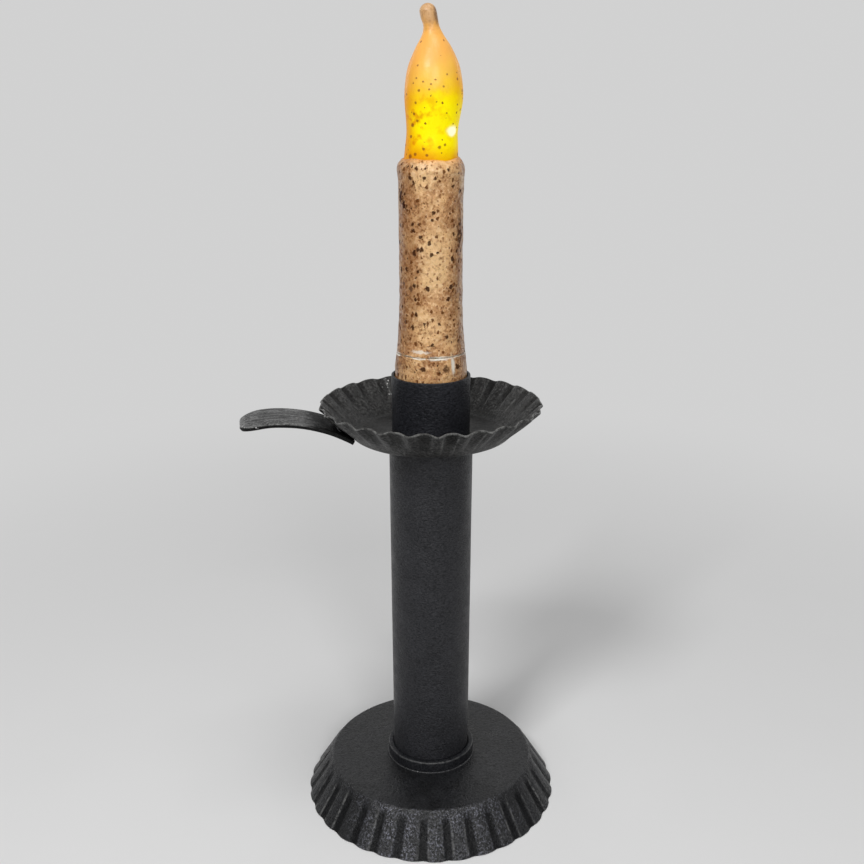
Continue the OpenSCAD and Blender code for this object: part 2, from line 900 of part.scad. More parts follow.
module lamp() {
    r = lamp_d / 2;
    color("#fff3c4")
        translate([0, 0, tray_top_z]) {
            cylinder(r = r + lamp_flange, h = lamp_flange_t);
            cylinder(r = r, h = lamp_l - r);
            translate([0, 0, lamp_l - r])
                sphere(r = r);
        }
}

module candle_tube() {
    color("#d8cdb8")
        difference() {
            translate([0, 0, sleeve_foot_z])
                cylinder(r = sleeve_r, h = sleeve_top_z - sleeve_foot_z);
            translate([0, 0, sleeve_foot_z - 1])
                cylinder(r = sleeve_bore_r, h = sleeve_top_z - head_t - sleeve_foot_z + 1);
            translate([0, 0, sleeve_top_z - head_t - 1])
                cylinder(r = lamp_hole_r, h = head_t + 2);
        }
}

// Outer radius of the dipped wax: wide at the seam, slim above, swelling to the lip
function wax_r(t) =
    wax_in_r + wax_t + (wax_foot_t - wax_t) * pow(1 - t, 7) + (wax_lip_t - wax_t) * pow(t, 20);

module wax_coat() {
    hole_r = flame_foot_r + film;
    lip_r = wax_r(1);
    color("#b08a5c")
        rotate_extrude()
            polygon(concat(
                [[wax_in_r, wax_foot_z]],
                [
                    for (i = [0:wax_rows])
                        let (t = ease(i / wax_rows))
                            [wax_r(t), mix(wax_foot_z, lip_z, t)]
                ],
                [
                    for (i = [1:lip_rows])
                        let (a = 86 * i / lip_rows)
                            [mix(hole_r, lip_r, cos(a)), lip_z + lip_h * sin(a)]
                ],
                [[hole_r, lip_z + lip_h * sin(86)], [hole_r, sleeve_top_z], [wax_in_r, sleeve_top_z]]
            ));
}

// Radius and sideways shift of the bulb at height h
function flame_r(h) =
    h < waist_h ? mix(flame_foot_d, flame_waist_d, ease(h / waist_h)) / 2
    : h < belly_h ? mix(flame_waist_d, flame_belly_d, ease((h - waist_h) / (belly_h - waist_h))) / 2
    : h < nub_h ? mix(flame_belly_d, flame_nub_d, pow((h - belly_h) / (nub_h - belly_h), 2)) / 2
    : h < flame_h - flame_nub_r ? flame_nub_r
    : sqrt(pow(flame_nub_r, 2) - pow(h - flame_h + flame_nub_r, 2));
function flame_shift(h) =
    h < belly_h ? -flame_lean * ease(h / belly_h)
    : mix(-flame_lean, nub_bend, pow(min(1, (h - belly_h) / (flame_h - flame_nub_r - belly_h)), 4));
function flame_ring(h, r) = [
    for (j = [0:flame_sides - 1])
        let (a = 360 * j / flame_sides)
            [flame_shift(h) + r * cos(a), r * sin(a), h]
];

module flame_bulb() {
    dome = flame_h - flame_nub_r;
    inside = reversed(concat(steps(0, belly_h, 6), steps(belly_h, nub_h - 3, 4)));
    outside = concat(
        steps(0, waist_h, 4),
        steps(waist_h, belly_h, 4),
        steps(belly_h, nub_h, 7),
        steps(nub_h, dome, 4),
        [for (a = [0:22:88]) dome + flame_nub_r * sin(a)]
    );
    color("#f2a63c")
        translate([0, 0, sleeve_top_z])
            rotate([0, 0, nub_turn])
                loft(concat(
                    [flame_ring(cavity_top - 2, 0.4)],
                    [for (h = inside) flame_ring(h, flame_r(h) - flame_wall)],
                    [for (h = outside) flame_ring(h, flame_r(h))]
                ));
}

base_pan();
column_tube();
foot_collar();
foot_solder();
drip_pan();
pan_solder();
socket_tube();
socket_stop();
finger_strap();
strap_weld();
battery_base();
base_wax();
bottom_cap();
switch_housing();
circuit_board();
timer_chip();
crystal();
resistors();
board_screws();
base_spring();
cell_tray();
lower_cell_can();
lower_cell_sleeve();
lower_cell_cap();
upper_cell_can();
upper_cell_sleeve();
upper_cell_cap();
contact_strip();
top_contact();
lamp_legs();
lamp();
switch_knob();
candle_tube();
wax_coat();
flame_bulb();
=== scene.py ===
import math

import bmesh
import bpy
import numpy as np
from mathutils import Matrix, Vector, noise


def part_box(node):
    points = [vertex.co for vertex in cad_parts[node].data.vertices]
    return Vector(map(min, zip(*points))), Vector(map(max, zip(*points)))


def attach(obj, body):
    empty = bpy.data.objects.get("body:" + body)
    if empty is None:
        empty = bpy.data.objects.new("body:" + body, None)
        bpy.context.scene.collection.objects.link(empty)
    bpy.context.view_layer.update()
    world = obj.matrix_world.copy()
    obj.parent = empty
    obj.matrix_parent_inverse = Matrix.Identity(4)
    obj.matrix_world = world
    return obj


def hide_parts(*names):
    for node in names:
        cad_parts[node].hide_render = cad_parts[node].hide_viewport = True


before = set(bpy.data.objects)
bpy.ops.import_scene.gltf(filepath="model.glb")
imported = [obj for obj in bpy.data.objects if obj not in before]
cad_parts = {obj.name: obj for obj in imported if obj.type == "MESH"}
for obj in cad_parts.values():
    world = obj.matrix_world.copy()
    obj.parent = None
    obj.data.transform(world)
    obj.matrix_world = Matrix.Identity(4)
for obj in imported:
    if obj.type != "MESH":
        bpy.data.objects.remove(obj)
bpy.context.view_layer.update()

# Places and sizes of the frame, in metres
base_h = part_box("base_pan")[1].z
column_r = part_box("column_tube")[1].x
pan_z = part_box("drip_pan")[0].z
socket_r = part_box("socket_tube")[1].x
socket_foot_z, socket_rim_z = (corner.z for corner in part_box("socket_tube"))
collar_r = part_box("foot_collar")[1].x
collar_top_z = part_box("foot_collar")[1].z
strap_tip_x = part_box("finger_strap")[0].x
strap_half_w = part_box("finger_strap")[1].y
weld_low, weld_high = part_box("strap_weld")
base_wax_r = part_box("base_wax")[1].x
base_wax_foot_z, seam_z = (corner.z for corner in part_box("base_wax"))
sleeve_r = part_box("candle_tube")[1].x
sleeve_top_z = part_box("candle_tube")[1].z
bulb_foot_z, bulb_tip_z = (corner.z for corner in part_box("flame_bulb"))

# Sizes of the sheet metal
sheet_t = 0.0007
solder_fit = 0.00005
column_wall = 0.00095
socket_wall = 0.0008
collar_round = 0.0005
pan_bead_leg = 0.0008
foot_bead_leg = 0.0005

# Sizes of the wax and the bulb
film = 0.00005
base_wax_t = 0.00085
base_wax_edge = 0.00026
base_wax_taper = 0.007
wax_t = 0.00062
wax_foot_t = 0.0017
wax_lip_t = 0.00095
wax_in_r = sleeve_r + film
lip_z = sleeve_top_z - 0.0025
lip_h = 0.0034
flame_foot_r = 0.0076
flame_wall = 0.0012
nub_turn = math.radians(170)
nub_r = 0.00233
# Bulb from its foot up: height, radius and sideways shift towards the bend of its nub
flame_knots = [
    (0.0, flame_foot_r, 0.0),
    (0.004, 0.0073, -0.0002),
    (0.0078, 0.00708, -0.00035),
    (0.0163, 0.008, -0.00078),
    (0.0232, 0.00714, -0.00078),
    (0.028, 0.005, -0.0007),
    (0.0312, 0.00296, -0.0005),
    (0.0333, 0.0022, -0.00012),
    (0.0352, 0.0023, 0.0004),
    (0.037, nub_r, 0.00078),
]

# The camera looks at the object from this azimuth, in the frame's own degrees
photo_azimuth = -100


def ease(x):
    return x * x * (3 - 2 * x)


def mix(a, b, t):
    return a + (b - a) * t


def curve(knots, x):
    """Smooth value at x of knots (place, value), flat outside them."""
    places = [knot[0] for knot in knots]
    i = min(max(np.searchsorted(places, x) - 1, 0), len(knots) - 2)
    around = [knots[max(i - 1, 0)], knots[i], knots[i + 1], knots[min(i + 2, len(knots) - 1)]]
    (x0, v0), (x1, v1), (x2, v2), (x3, v3) = around
    t = min(max((x - x1) / (x2 - x1), 0), 1)
    start = (v2 - v0) / (x2 - x0) * (x2 - x1)
    end = (v3 - v1) / (x3 - x1) * (x2 - x1)
    return (
        (2 * t**3 - 3 * t**2 + 1) * v1 + (t**3 - 2 * t**2 + t) * start
        + (3 * t**2 - 2 * t**3) * v2 + (t**3 - t**2) * end
    )


def lump(points, size, seed=0.0):
    """Smooth noise from -1 to 1 at each point, with bumps of this size."""
    shift = Vector((seed, 1.7 * seed, -seed))
    return np.array([noise.noise(Vector(p) / size + shift) for p in points])


def loft(rings, closed=False):
    """Points and faces of a skin over rings of points; a ring of one point closes an end."""
    starts = np.cumsum([0] + [len(ring) for ring in rings]).tolist()
    pairs = [(i, i + 1) for i in range(len(rings) - 1)]
    if closed:
        pairs.append((len(rings) - 1, 0))
    faces = []
    for a, b in pairs:
        na, nb = len(rings[a]), len(rings[b])
        for j in range(max(na, nb)):
            k = (j + 1) % max(na, nb)
            corners = (
                starts[a] + j % na,
                starts[a] + k % na,
                starts[b] + k % nb,
                starts[b] + j % nb,
            )
            faces.append(tuple(dict.fromkeys(corners)))
    return np.concatenate(rings), faces


def spin(line, columns):
    """Rings of a line of (radius, height) turned about Z."""
    angles = np.arange(columns) * 2 * math.pi / columns
    rings = []
    for radius, height in line:
        ring_angles = angles if radius > 0 else angles[:1]
        rings.append(
            np.stack(
                [
                    radius * np.cos(ring_angles),
                    radius * np.sin(ring_angles),
                    np.full(len(ring_angles), height),
                ],
                axis=1,
            )
        )
    return rings


def swell(points, amount):
    """Points moved away from the Z axis by an amount each."""
    radius = np.maximum(np.hypot(points[:, 0], points[:, 1]), 1e-9)
    scale = 1 + amount / radius
    return points * np.stack([scale, scale, np.ones(len(points))], axis=1)


def piece(name, body, replaced, skin, material, marks=None):
    """A smooth mesh that rides on a body and stands for CAD nodes. marks are floats for its material."""
    points, faces = skin
    mesh = bpy.data.meshes.new(name)
    mesh.from_pydata([tuple(p) for p in points], [], faces)
    for mark, values in (marks or {}).items():
        layer = mesh.attributes.new(mark, "FLOAT", "POINT")
        layer.data.foreach_set("value", np.asarray(values, dtype=np.float32))
    work = bmesh.new()
    work.from_mesh(mesh)
    bmesh.ops.recalc_face_normals(work, faces=work.faces)
    work.to_mesh(mesh)
    work.free()
    mesh.shade_smooth()
    mesh.set_sharp_from_angle(angle=math.radians(45))
    mesh.materials.append(material)
    made = bpy.data.objects.new(name, mesh)
    bpy.context.scene.collection.objects.link(made)
    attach(made, body)
    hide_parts(*replaced)
    return made


def around(degrees, reach, height):
    """A place round the object, in degrees to the right of the camera's side."""
    a = math.radians(photo_azimuth + degrees)
    return (reach * math.cos(a), reach * math.sin(a), height)


def on_taper(degrees, z, r=0.0093):
    """A place on the taper's surface."""
    return around(degrees, r, z)


def wax_r(t):
    """Outer radius of the sleeve's wax, from the seam at 0 to the lip at 1."""
    return wax_in_r + wax_t + (wax_foot_t - wax_t) * (1 - t) ** 7 + (wax_lip_t - wax_t) * t**20


def wax_surface(z):
    """Radius of the candle's wax at a height, without its lumps."""
    if z < seam_z:
        return base_wax_r - 0.0001
    return wax_r(min((z - seam_z) / (lip_z - seam_z), 1.0))


class Shader:
    """One material, with short calls that add its nodes."""

    def __init__(self, name):
        self.material = bpy.data.materials.new(name)
        self.material.use_nodes = True
        self.tree = self.material.node_tree
        self.tree.nodes.clear()
        self.at = self.add("TexCoord").outputs["Object"]

    def add(self, kind, inputs=None, **settings):
        node = self.tree.nodes.new("ShaderNode" + kind)
        for key, value in settings.items():
            setattr(node, key, value)
        for socket, value in (inputs or {}).items():
            self.feed(node.inputs[socket], value)
        return node

    def feed(self, socket, value):
        if isinstance(value, bpy.types.NodeSocket):
            self.tree.links.new(value, socket)
        else:
            socket.default_value = value

    def math(self, operation, a, b=0.0, clamp=False):
        return self.add("Math", {0: a, 1: b}, operation=operation, use_clamp=clamp).outputs[0]

    def vector(self, operation, a, b=(0, 0, 0), out="Vector"):
        return self.add("VectorMath", {0: a, 1: b}, operation=operation).outputs[out]

    def fade(self, value, start, end, low=0.0, high=1.0, smooth=True):
        """low up to start, high past end, and a smooth step between."""
        return self.add(
            "MapRange",
            {"Value": value, "From Min": start, "From Max": end, "To Min": low, "To Max": high},
            interpolation_type="SMOOTHSTEP" if smooth else "LINEAR",
        ).outputs[0]

    def blend(self, factor, a, b, how="MIX"):
        """Colour a turning into colour b."""
        node = self.add("Mix", data_type="RGBA", blend_type=how)
        self.feed(node.inputs[0], factor)
        self.feed(node.inputs[6], a if isinstance(a, bpy.types.NodeSocket) else (*a, 1))
        self.feed(node.inputs[7], b if isinstance(b, bpy.types.NodeSocket) else (*b, 1))
        return node.outputs[2]

    def noise(self, size, detail=2.0, roughness=0.5, at=None, distortion=0.0):
        """Cloudy noise with bumps of this size in metres."""
        return self.add(
            "TexNoise",
            {
                "Vector": at or self.at,
                "Scale": 1 / size,
                "Detail": detail,
                "Roughness": roughness,
                "Distortion": distortion,
            },
        ).outputs[0]

    def stretch(self, x, y, z):
        """The place with each axis scaled, for streaks."""
        return self.vector("MULTIPLY", self.at, (x, y, z))

    def axis(self, name, at=None):
        return self.add("SeparateXYZ", {0: at or self.at}).outputs[name]

    def mark(self, name):
        return self.add("Attribute", attribute_name=name, attribute_type="GEOMETRY").outputs["Fac"]

    def ragged(self, amount, size):
        """The place shaken by noise, so that what is drawn there gets rough edges."""
        shake = self.add("TexNoise", {"Vector": self.at, "Scale": 1 / size, "Detail": 2.0})
        centred = self.vector("SUBTRACT", shake.outputs["Color"], (0.5, 0.5, 0.5))
        return self.vector("ADD", self.at, self.vector("MULTIPLY", centred, (amount,) * 3))

    def grains(self, spacing, share, radius, at=None):
        """Mask of scattered grains: a share of the cells holds one, of up to this radius."""
        cells = self.add("TexVoronoi", {"Vector": at or self.at, "Scale": 1 / spacing})
        dice = self.add("SeparateColor", {"Color": cells.outputs["Color"]})
        size = self.fade(dice.outputs[1], 0.0, 1.0, 0.5 * radius, radius, smooth=False)
        near = self.math("SUBTRACT", size, cells.outputs["Distance"])
        chosen = self.math("LESS_THAN", dice.outputs[0], share)
        return self.math("MULTIPLY", self.fade(near, 0.0, 0.1), chosen)

    def spot(self, centre, spread, at=None):
        """1 at a centre, falling to 0 at the spread, which may differ along each axis."""
        away = self.vector("SUBTRACT", at or self.at, centre)
        scaled = self.vector("DIVIDE", away, spread)
        return self.fade(self.vector("LENGTH", scaled, out="Value"), 1.0, 0.35)

    def most(self, masks):
        """The strongest of several masks at each place."""
        strongest = masks[0]
        for one in masks[1:]:
            strongest = self.math("MAXIMUM", strongest, one)
        return strongest

    def bump(self, height, distance, strength=1.0, under=None):
        inputs = {"Height": height, "Distance": distance, "Strength": strength}
        if under:
            inputs["Normal"] = under
        return self.add("Bump", inputs).outputs[0]

    def finish(self, **inputs):
        """The Principled shader, whose inputs are named in lower case with underscores."""
        shader = self.add("BsdfPrincipled")
        for key, value in inputs.items():
            socket = shader.inputs[SOCKETS[key]]
            if key in COLOURS and not isinstance(value, bpy.types.NodeSocket):
                value = (*value, 1)
            self.feed(socket, value)
        output = self.add("OutputMaterial")
        self.tree.links.new(shader.outputs[0], output.inputs[0])
        return self.material


COLOURS = ("colour", "emission", "tint")
SOCKETS = {
    "colour": "Base Color",
    "metal": "Metallic",
    "roughness": "Roughness",
    "ior": "IOR",
    "alpha": "Alpha",
    "normal": "Normal",
    "subsurface": "Subsurface Weight",
    "subsurface_radius": "Subsurface Radius",
    "subsurface_scale": "Subsurface Scale",
    "specular": "Specular IOR Level",
    "coat": "Coat Weight",
    "coat_roughness": "Coat Roughness",
    "sheen": "Sheen Weight",
    "emission": "Emission Color",
    "glow": "Emission Strength",
    "transmission": "Transmission Weight",
}


def paint(
    name, dark, light, rough, gloss, grain, size=0.0009, glint_colour=(0.05, 0.05, 0.055), glint_amount=0.5,
    squash=1.0, lines=None, wear_and_highlight=0.0, specks=0.02, flutes=0.0, shaded_underside=False, glinting_drips=(), glint_spot=None,
):
    """Satin paint on steel: grainy, cloudy in tone, with pale flecks painted as glints, dust specks, and edges
    painted light for wear and highlight; it can also paint shade into flute grooves and under a part, and the
    drip pan's shadow.
    """
    s = Shader(name)
    across = s.stretch(1, 1, squash)
    fine = s.noise(size, 3.0, 0.65, at=across)
    colour = s.blend(s.fade(s.noise(0.012, 3.0), 0.35, 0.7), dark, light)
    # Pale flecks of the grain: painted glints of light caught by the grain
    painted_glints = s.fade(fine, 0.5, 0.64, 0.0, glint_amount)
    shine = s.fade(fine, 0.36, 0.62, 0.6 * gloss, gloss)
    # With flutes: painted shade in the grooves, as strong as flutes gives, and painted glints only on the
    # ridges of the wall
    if flutes:
        side, ridge = s.mark("side"), s.mark("ridge")
        groove = s.math("SUBTRACT", 1.0, ridge)
        groove_shade = s.math("MULTIPLY", groove, s.fade(s.noise(0.011, 2.0), 0.38, 0.6, 0.3 * flutes, flutes))
        colour = s.blend(groove_shade, colour, [0.2 * c for c in dark])
        patches = s.fade(s.noise(0.0048, 3.0, 0.6), 0.36, 0.6, 0.12, 1.0)
        painted_glints = s.math("MULTIPLY", s.math("MULTIPLY", painted_glints, patches), s.math("MULTIPLY", side, ridge))
        shine = s.math("MULTIPLY", shine, s.fade(ridge, 0.0, 1.0, 0.4, 1.0))
    # Painted glints gathered at a spot on the lit front: elsewhere fewer glints, less shine and brighter edge
    # lines painted as highlights
    if glint_spot:
        glint_here = s.spot(*glint_spot)
        painted_glints = s.math("MULTIPLY", painted_glints, s.fade(glint_here, 0.0, 1.0, 0.12, 1.0))
        side_past_glint = s.math("MULTIPLY", side, s.math("SUBTRACT", 1.0, glint_here))
        shine = s.math("MULTIPLY", shine, s.fade(side_past_glint, 0.0, 1.0, 1.0, 0.5))
    colour = s.blend(painted_glints, colour, glint_colour)
    colour = s.blend(s.fade(fine, 0.49, 0.36, 0.0, 0.8), colour, [0.35 * c for c in dark])
    height = s.math("ADD", fine, s.math("MULTIPLY", s.noise(2.2 * size, 2.0, at=across), 0.8))
    if flutes:
        height = s.math("MULTIPLY", height, s.fade(side, 0.0, 1.0, 0.4, 1.0))
    if lines:
        drawn = s.noise(0.0011, 4.0, 0.65, at=s.stretch(*lines))
        colour = s.blend(s.fade(drawn, 0.5, 0.6, 0.0, 0.9), colour, [2.6 * c for c in light])
        colour = s.blend(s.fade(drawn, 0.49, 0.41, 0.0, 0.9), colour, [0.35 * c for c in dark])
        height = s.math("ADD", height, s.math("MULTIPLY", drawn, 1.2))
    dust = s.grains(0.0021, specks, 0.13, at=s.ragged(0.0006, 0.0005))
    colour = s.blend(dust, colour, (0.16, 0.16, 0.155))
    # Light lines on marked edges: worn paint on rims and corners, and painted highlight lines on flute
    # shoulders and the collar's top
    if wear_and_highlight:
        edge_wear_and_highlight = s.math("MULTIPLY", s.mark("edge"), s.fade(s.noise(0.0014, 4.0, 0.7), 0.36, 0.62))
        if glint_spot:
            edge_wear_and_highlight = s.math("MULTIPLY", edge_wear_and_highlight, s.fade(glint_here, 0.0, 1.0, 1.0, 0.4))
        colour = s.blend(s.math("MULTIPLY", edge_wear_and_highlight, wear_and_highlight), colour, (0.2, 0.2, 0.195))
    # Painted shade on faces that turn down or sideways, and the drip pan's shadow painted near the strap's
    # joint
    if shaded_underside:
        up = s.axis("Z", s.add("NewGeometry").outputs["Normal"])
        painted_pan_shadow = s.fade(s.axis("X", s.ragged(0.003, 0.003)), -0.0402, -0.0350)
        painted_shade = s.math("MAXIMUM", s.fade(up, 0.5, 0.1), painted_pan_shadow)
        colour = s.blend(painted_shade, colour, [0.25 * c for c in dark])
        shine = s.math("MULTIPLY", shine, s.fade(painted_shade, 0.0, 1.0, 1.0, 0.25))
    # Solder drips: real bumps, their brightness painted as glints
    if glinting_drips:
        drip_glints = s.grains(0.0011, 0.9, 0.4)
        run = s.most([s.spot(place, (0.0028, 0.0028, 0.0028)) for place in glinting_drips])
        colour = s.blend(s.math("MULTIPLY", drip_glints, run), colour, (0.6, 0.6, 0.59))
        height = s.math("ADD", height, s.math("MULTIPLY", drip_glints, run))
    roughness = s.fade(s.noise(0.004, 3.0), 0.3, 0.75, rough - 0.07, rough + 0.09, smooth=False)
    return s.finish(colour=colour, roughness=roughness, specular=shine, normal=s.bump(height, grain))


def solder_paint(name):
    """Painted solder: rough, with small knobs painted bright as highlights."""
    s = Shader(name)
    colour = s.blend(s.noise(0.0012, 3.0), (0.010, 0.010, 0.012), (0.026, 0.026, 0.028))
    # Small knobs, painted bright as highlights
    glinting_knobs = s.grains(0.0009, 0.4, 0.34)
    colour = s.blend(s.math("MULTIPLY", glinting_knobs, 0.6), colour, (0.26, 0.26, 0.26))
    height = s.math("ADD", s.noise(0.0006, 3.0, 0.7), glinting_knobs)
    return s.finish(colour=colour, roughness=0.42, specular=0.35, normal=s.bump(height, 0.00015))


# Stains of the wax: degrees from the photographed side, height, reach across and along, blackness
STAINS = [
    (-64, 0.2013, 0.0022, 0.0028, 1.0),
    (-52, 0.1990, 0.0017, 0.0016, 1.0),
    (-39, 0.2040, 0.0026, 0.0028, 0.25),
    (61, 0.1918, 0.0018, 0.0056, 0.85),
    (-29, 0.1872, 0.0017, 0.0022, 0.35),
    (-44, 0.1880, 0.0026, 0.0028, 0.35),
    (-48, 0.1830, 0.0030, 0.0044, 0.3),
    (-50, 0.1762, 0.0032, 0.0040, 0.25),
    (46, 0.1760, 0.0032, 0.0046, 0.45),
    (60, 0.1612, 0.0022, 0.0030, 0.25),
    (-67, 0.1552, 0.0024, 0.0036, 0.3),
    (24, 0.1539, 0.0018, 0.0014, 0.7),
    (130, 0.1960, 0.0024, 0.0040, 0.8),
    (160, 0.1760, 0.0026, 0.0030, 0.4),
    (205, 0.1900, 0.0020, 0.0050, 0.9),
    (240, 0.1700, 0.0024, 0.0024, 0.4),
    (100, 0.1680, 0.0016, 0.0020, 0.3),
]

# Single specks that stand out on the photographed side: degrees, height and radius
SPECKS = [
    (-37, 0.2062, 0.0005), (-11, 0.2061, 0.0005), (8, 0.2062, 0.0004), (42, 0.2040, 0.0005),
    (5, 0.1973, 0.0005), (2, 0.1954, 0.0004), (-33, 0.1941, 0.0005), (-32, 0.1925, 0.0005),
    (-19, 0.1909, 0.0005), (-17, 0.1874, 0.0006), (1, 0.1861, 0.0005), (41, 0.1847, 0.0006),
    (-6, 0.1768, 0.0006), (38, 0.1771, 0.0007), (33, 0.1737, 0.0006), (-27, 0.1694, 0.0005),
    (15, 0.1668, 0.0005), (-11, 0.1669, 0.0004), (2, 0.1610, 0.0005), (-12, 0.1539, 0.0008),
    (12, 0.1552, 0.0005), (47, 0.1541, 0.0008), (-34, 0.2092, 0.0005), (-25, 0.2087, 0.0005),
    (-9, 0.2088, 0.0004), (31, 0.2085, 0.0004), (-30, 0.1868, 0.0006), (-24, 0.1875, 0.0005),
]


def wax(name):
    """Tan wax under a crust of brown and black specks, with a chipped white edge at the seam."""
    s = Shader(name)
    rough_at = s.ragged(0.0014, 0.0009)
    colour = s.blend(s.fade(s.noise(0.006, 3.0), 0.36, 0.64), (0.45, 0.226, 0.09), (0.65, 0.385, 0.172))
    clear = s.most([
        s.spot(on_taper(4, 0.1835), (0.0055, 0.0055, 0.013)),
        s.math("MULTIPLY", s.spot(on_taper(-14, 0.2065), (0.0062, 0.0062, 0.0055)), 0.8),
        s.math("MULTIPLY", s.spot(on_taper(-5, 0.1665), (0.0055, 0.0055, 0.006)), 0.6),
    ])
    colour = s.blend(s.math("MULTIPLY", clear, 0.6), colour, (0.74, 0.50, 0.25))
    mottle = s.noise(0.0011, 4.0, 0.68)
    colour = s.blend(s.fade(mottle, 0.52, 0.63, 0.0, 0.65), colour, (0.78, 0.54, 0.31))

    clouds, blacks = [], []
    for degrees, z, across, along, blackness in STAINS:
        cloud = s.spot(on_taper(degrees, z, wax_surface(z)), (across, across, along), at=rough_at)
        clouds.append(cloud)
        if blackness > 0.5:
            blacks.append(s.math("MULTIPLY", cloud, blackness))
    stain = s.most(clouds)
    # More specks and a darker brown towards both flanks, left and right of the camera's side
    left = s.spot(on_taper(-70, 0.184), (0.0115, 0.0115, 0.05))
    right = s.math("MULTIPLY", s.spot(on_taper(74, 0.180), (0.0085, 0.0085, 0.045)), 0.6)
    patchy = s.fade(s.noise(0.0045, 4.0, 0.65), 0.49, 0.61)
    crowd = s.math("ADD", s.math("MULTIPLY", patchy, 0.5), s.most([s.math("MULTIPLY", left, 0.9), right]))
    crowd = s.math("SUBTRACT", crowd, s.math("MULTIPLY", clear, 0.5), clamp=True)
    crowd = s.math("ADD", crowd, s.math("MULTIPLY", stain, 0.8), clamp=True)
    brown = s.math("MULTIPLY", s.fade(mottle, 0.48, 0.38), s.fade(crowd, 0.0, 0.8, 0.5, 0.9))
    colour = s.blend(brown, colour, (0.205, 0.08, 0.024))

    upright = s.vector("MULTIPLY", s.ragged(0.0009, 0.0007), (1, 1, 0.78))
    fine = s.grains(0.0009, s.fade(crowd, 0.0, 1.0, 0.42, 0.9), 0.46, at=s.ragged(0.0004, 0.0004))
    middle = s.grains(0.0015, s.fade(crowd, 0.0, 0.8, 0.36, 1.0), 0.38, at=upright)
    large = s.grains(0.0022, s.fade(crowd, 0.0, 0.9, 0.2, 0.95), 0.3, at=upright)
    blotch = s.grains(0.0031, s.fade(crowd, 0.35, 1.0, 0.0, 0.8), 0.3, at=s.ragged(0.0016, 0.001))
    seen_specks = [s.spot(on_taper(a, z, wax_surface(z)), (1.4 * r,) * 3, at=rough_at) for a, z, r in SPECKS]
    black = s.math("MULTIPLY", s.most(blacks), s.fade(s.noise(0.0009, 3.0), 0.34, 0.5))
    speck = s.fade(s.most(seen_specks), 0.0, 0.7, 0.0, 0.9)
    dark = s.most([s.math("MULTIPLY", large, 0.88), speck, black])
    colour = s.blend(s.math("MULTIPLY", crowd, 0.55), colour, (0.185, 0.070, 0.022))
    colour = s.blend(s.math("MULTIPLY", blotch, 0.8), colour, (0.07, 0.024, 0.009))
    colour = s.blend(s.math("MULTIPLY", fine, 0.6), colour, (0.19, 0.066, 0.018))
    colour = s.blend(s.math("MULTIPLY", middle, 0.88), colour, (0.11, 0.034, 0.009))
    colour = s.blend(dark, colour, (0.032, 0.009, 0.004))

    lit = s.fade(s.axis("Z", rough_at), lip_z + 0.0016, lip_z + lip_h, 0.0, 0.5)
    colour = s.blend(lit, colour, (0.72, 0.33, 0.09))

    seam = s.math("ABSOLUTE", s.math("SUBTRACT", s.axis("Z", s.ragged(0.0009, 0.002)), seam_z))
    chipped = s.fade(s.noise(0.0026, 4.0, 0.7), 0.44, 0.5)
    thin = s.math("MULTIPLY", s.fade(seam, 0.00045, 0.0002, 0.0, 0.8), chipped)
    broken = [s.spot(on_taper(a, seam_z, 0.0103), (0.0036, 0.0036, 0.003), at=rough_at) for a in (14, -75, 190)]
    chips = s.math("MAXIMUM", thin, s.math("MULTIPLY", s.fade(seam, 0.0007, 0.0004), s.most(broken)))
    smear = s.spot(on_taper(-17, seam_z + 0.0018, 0.0103), (0.0040, 0.0040, 0.00065), at=rough_at)
    scratch = s.spot(
        on_taper(38, seam_z - 0.0020, 0.0107), (0.0010, 0.0010, 0.0040), at=s.ragged(0.0004, 0.001)
    )
    white = s.most([chips, scratch, s.math("MULTIPLY", smear, 0.75)])
    colour = s.blend(s.math("MULTIPLY", white, 0.9), colour, (0.80, 0.75, 0.66))

    covered = s.most([dark, middle, s.math("MULTIPLY", crowd, 0.6), s.math("MULTIPLY", fine, 0.6)])
    crust = s.math("ADD", s.math("ADD", fine, middle), s.math("MULTIPLY", dark, 2.0))
    skin = s.math("ADD", s.noise(0.0009, 3.0, 0.6), s.math("MULTIPLY", crust, 0.25))
    return s.finish(
        colour=colour,
        roughness=s.fade(crust, 0.0, 1.2, 0.34, 0.6),
        specular=s.fade(covered, 0.0, 1.0, 0.34, 0.03),
        coat=s.fade(covered, 0.0, 1.0, 0.12, 0.0),
        coat_roughness=0.2,
        subsurface=0.08,
        subsurface_radius=(1.0, 0.5, 0.25),
        subsurface_scale=0.0015,
        normal=s.bump(skin, 0.0002),
    )


# Specks of the bulb on the photographed side: degrees, height over its foot and radius
FLAME_SPECKS = [
    (47, 0.0299, 0.0003), (-37, 0.0238, 0.0003), (28, 0.0217, 0.0003), (55, 0.0206, 0.0004),
    (-37, 0.0208, 0.0003), (-21, 0.0199, 0.0003), (-6, 0.0193, 0.0003), (3, 0.0204, 0.0003),
    (19, 0.0188, 0.0003), (-9, 0.0181, 0.0003), (-30, 0.0178, 0.0004), (-66, 0.0169, 0.0004),
    (-84, 0.0183, 0.0005), (74, 0.0178, 0.0005), (-37, 0.0148, 0.0004), (72, 0.0131, 0.0004),
    (-42, 0.0121, 0.0004), (-34, 0.0104, 0.0004), (-48, 0.0093, 0.0006), (51, 0.0096, 0.0003),
    (-53, 0.0064, 0.0005), (17, 0.0038, 0.0005), (30, 0.0044, 0.0004), (-17, 0.0034, 0.0004),
    (-36, 0.0020, 0.0005), (-9, 0.0018, 0.0004), (-50, 0.0014, 0.0007), (78, 0.0018, 0.0006),
]


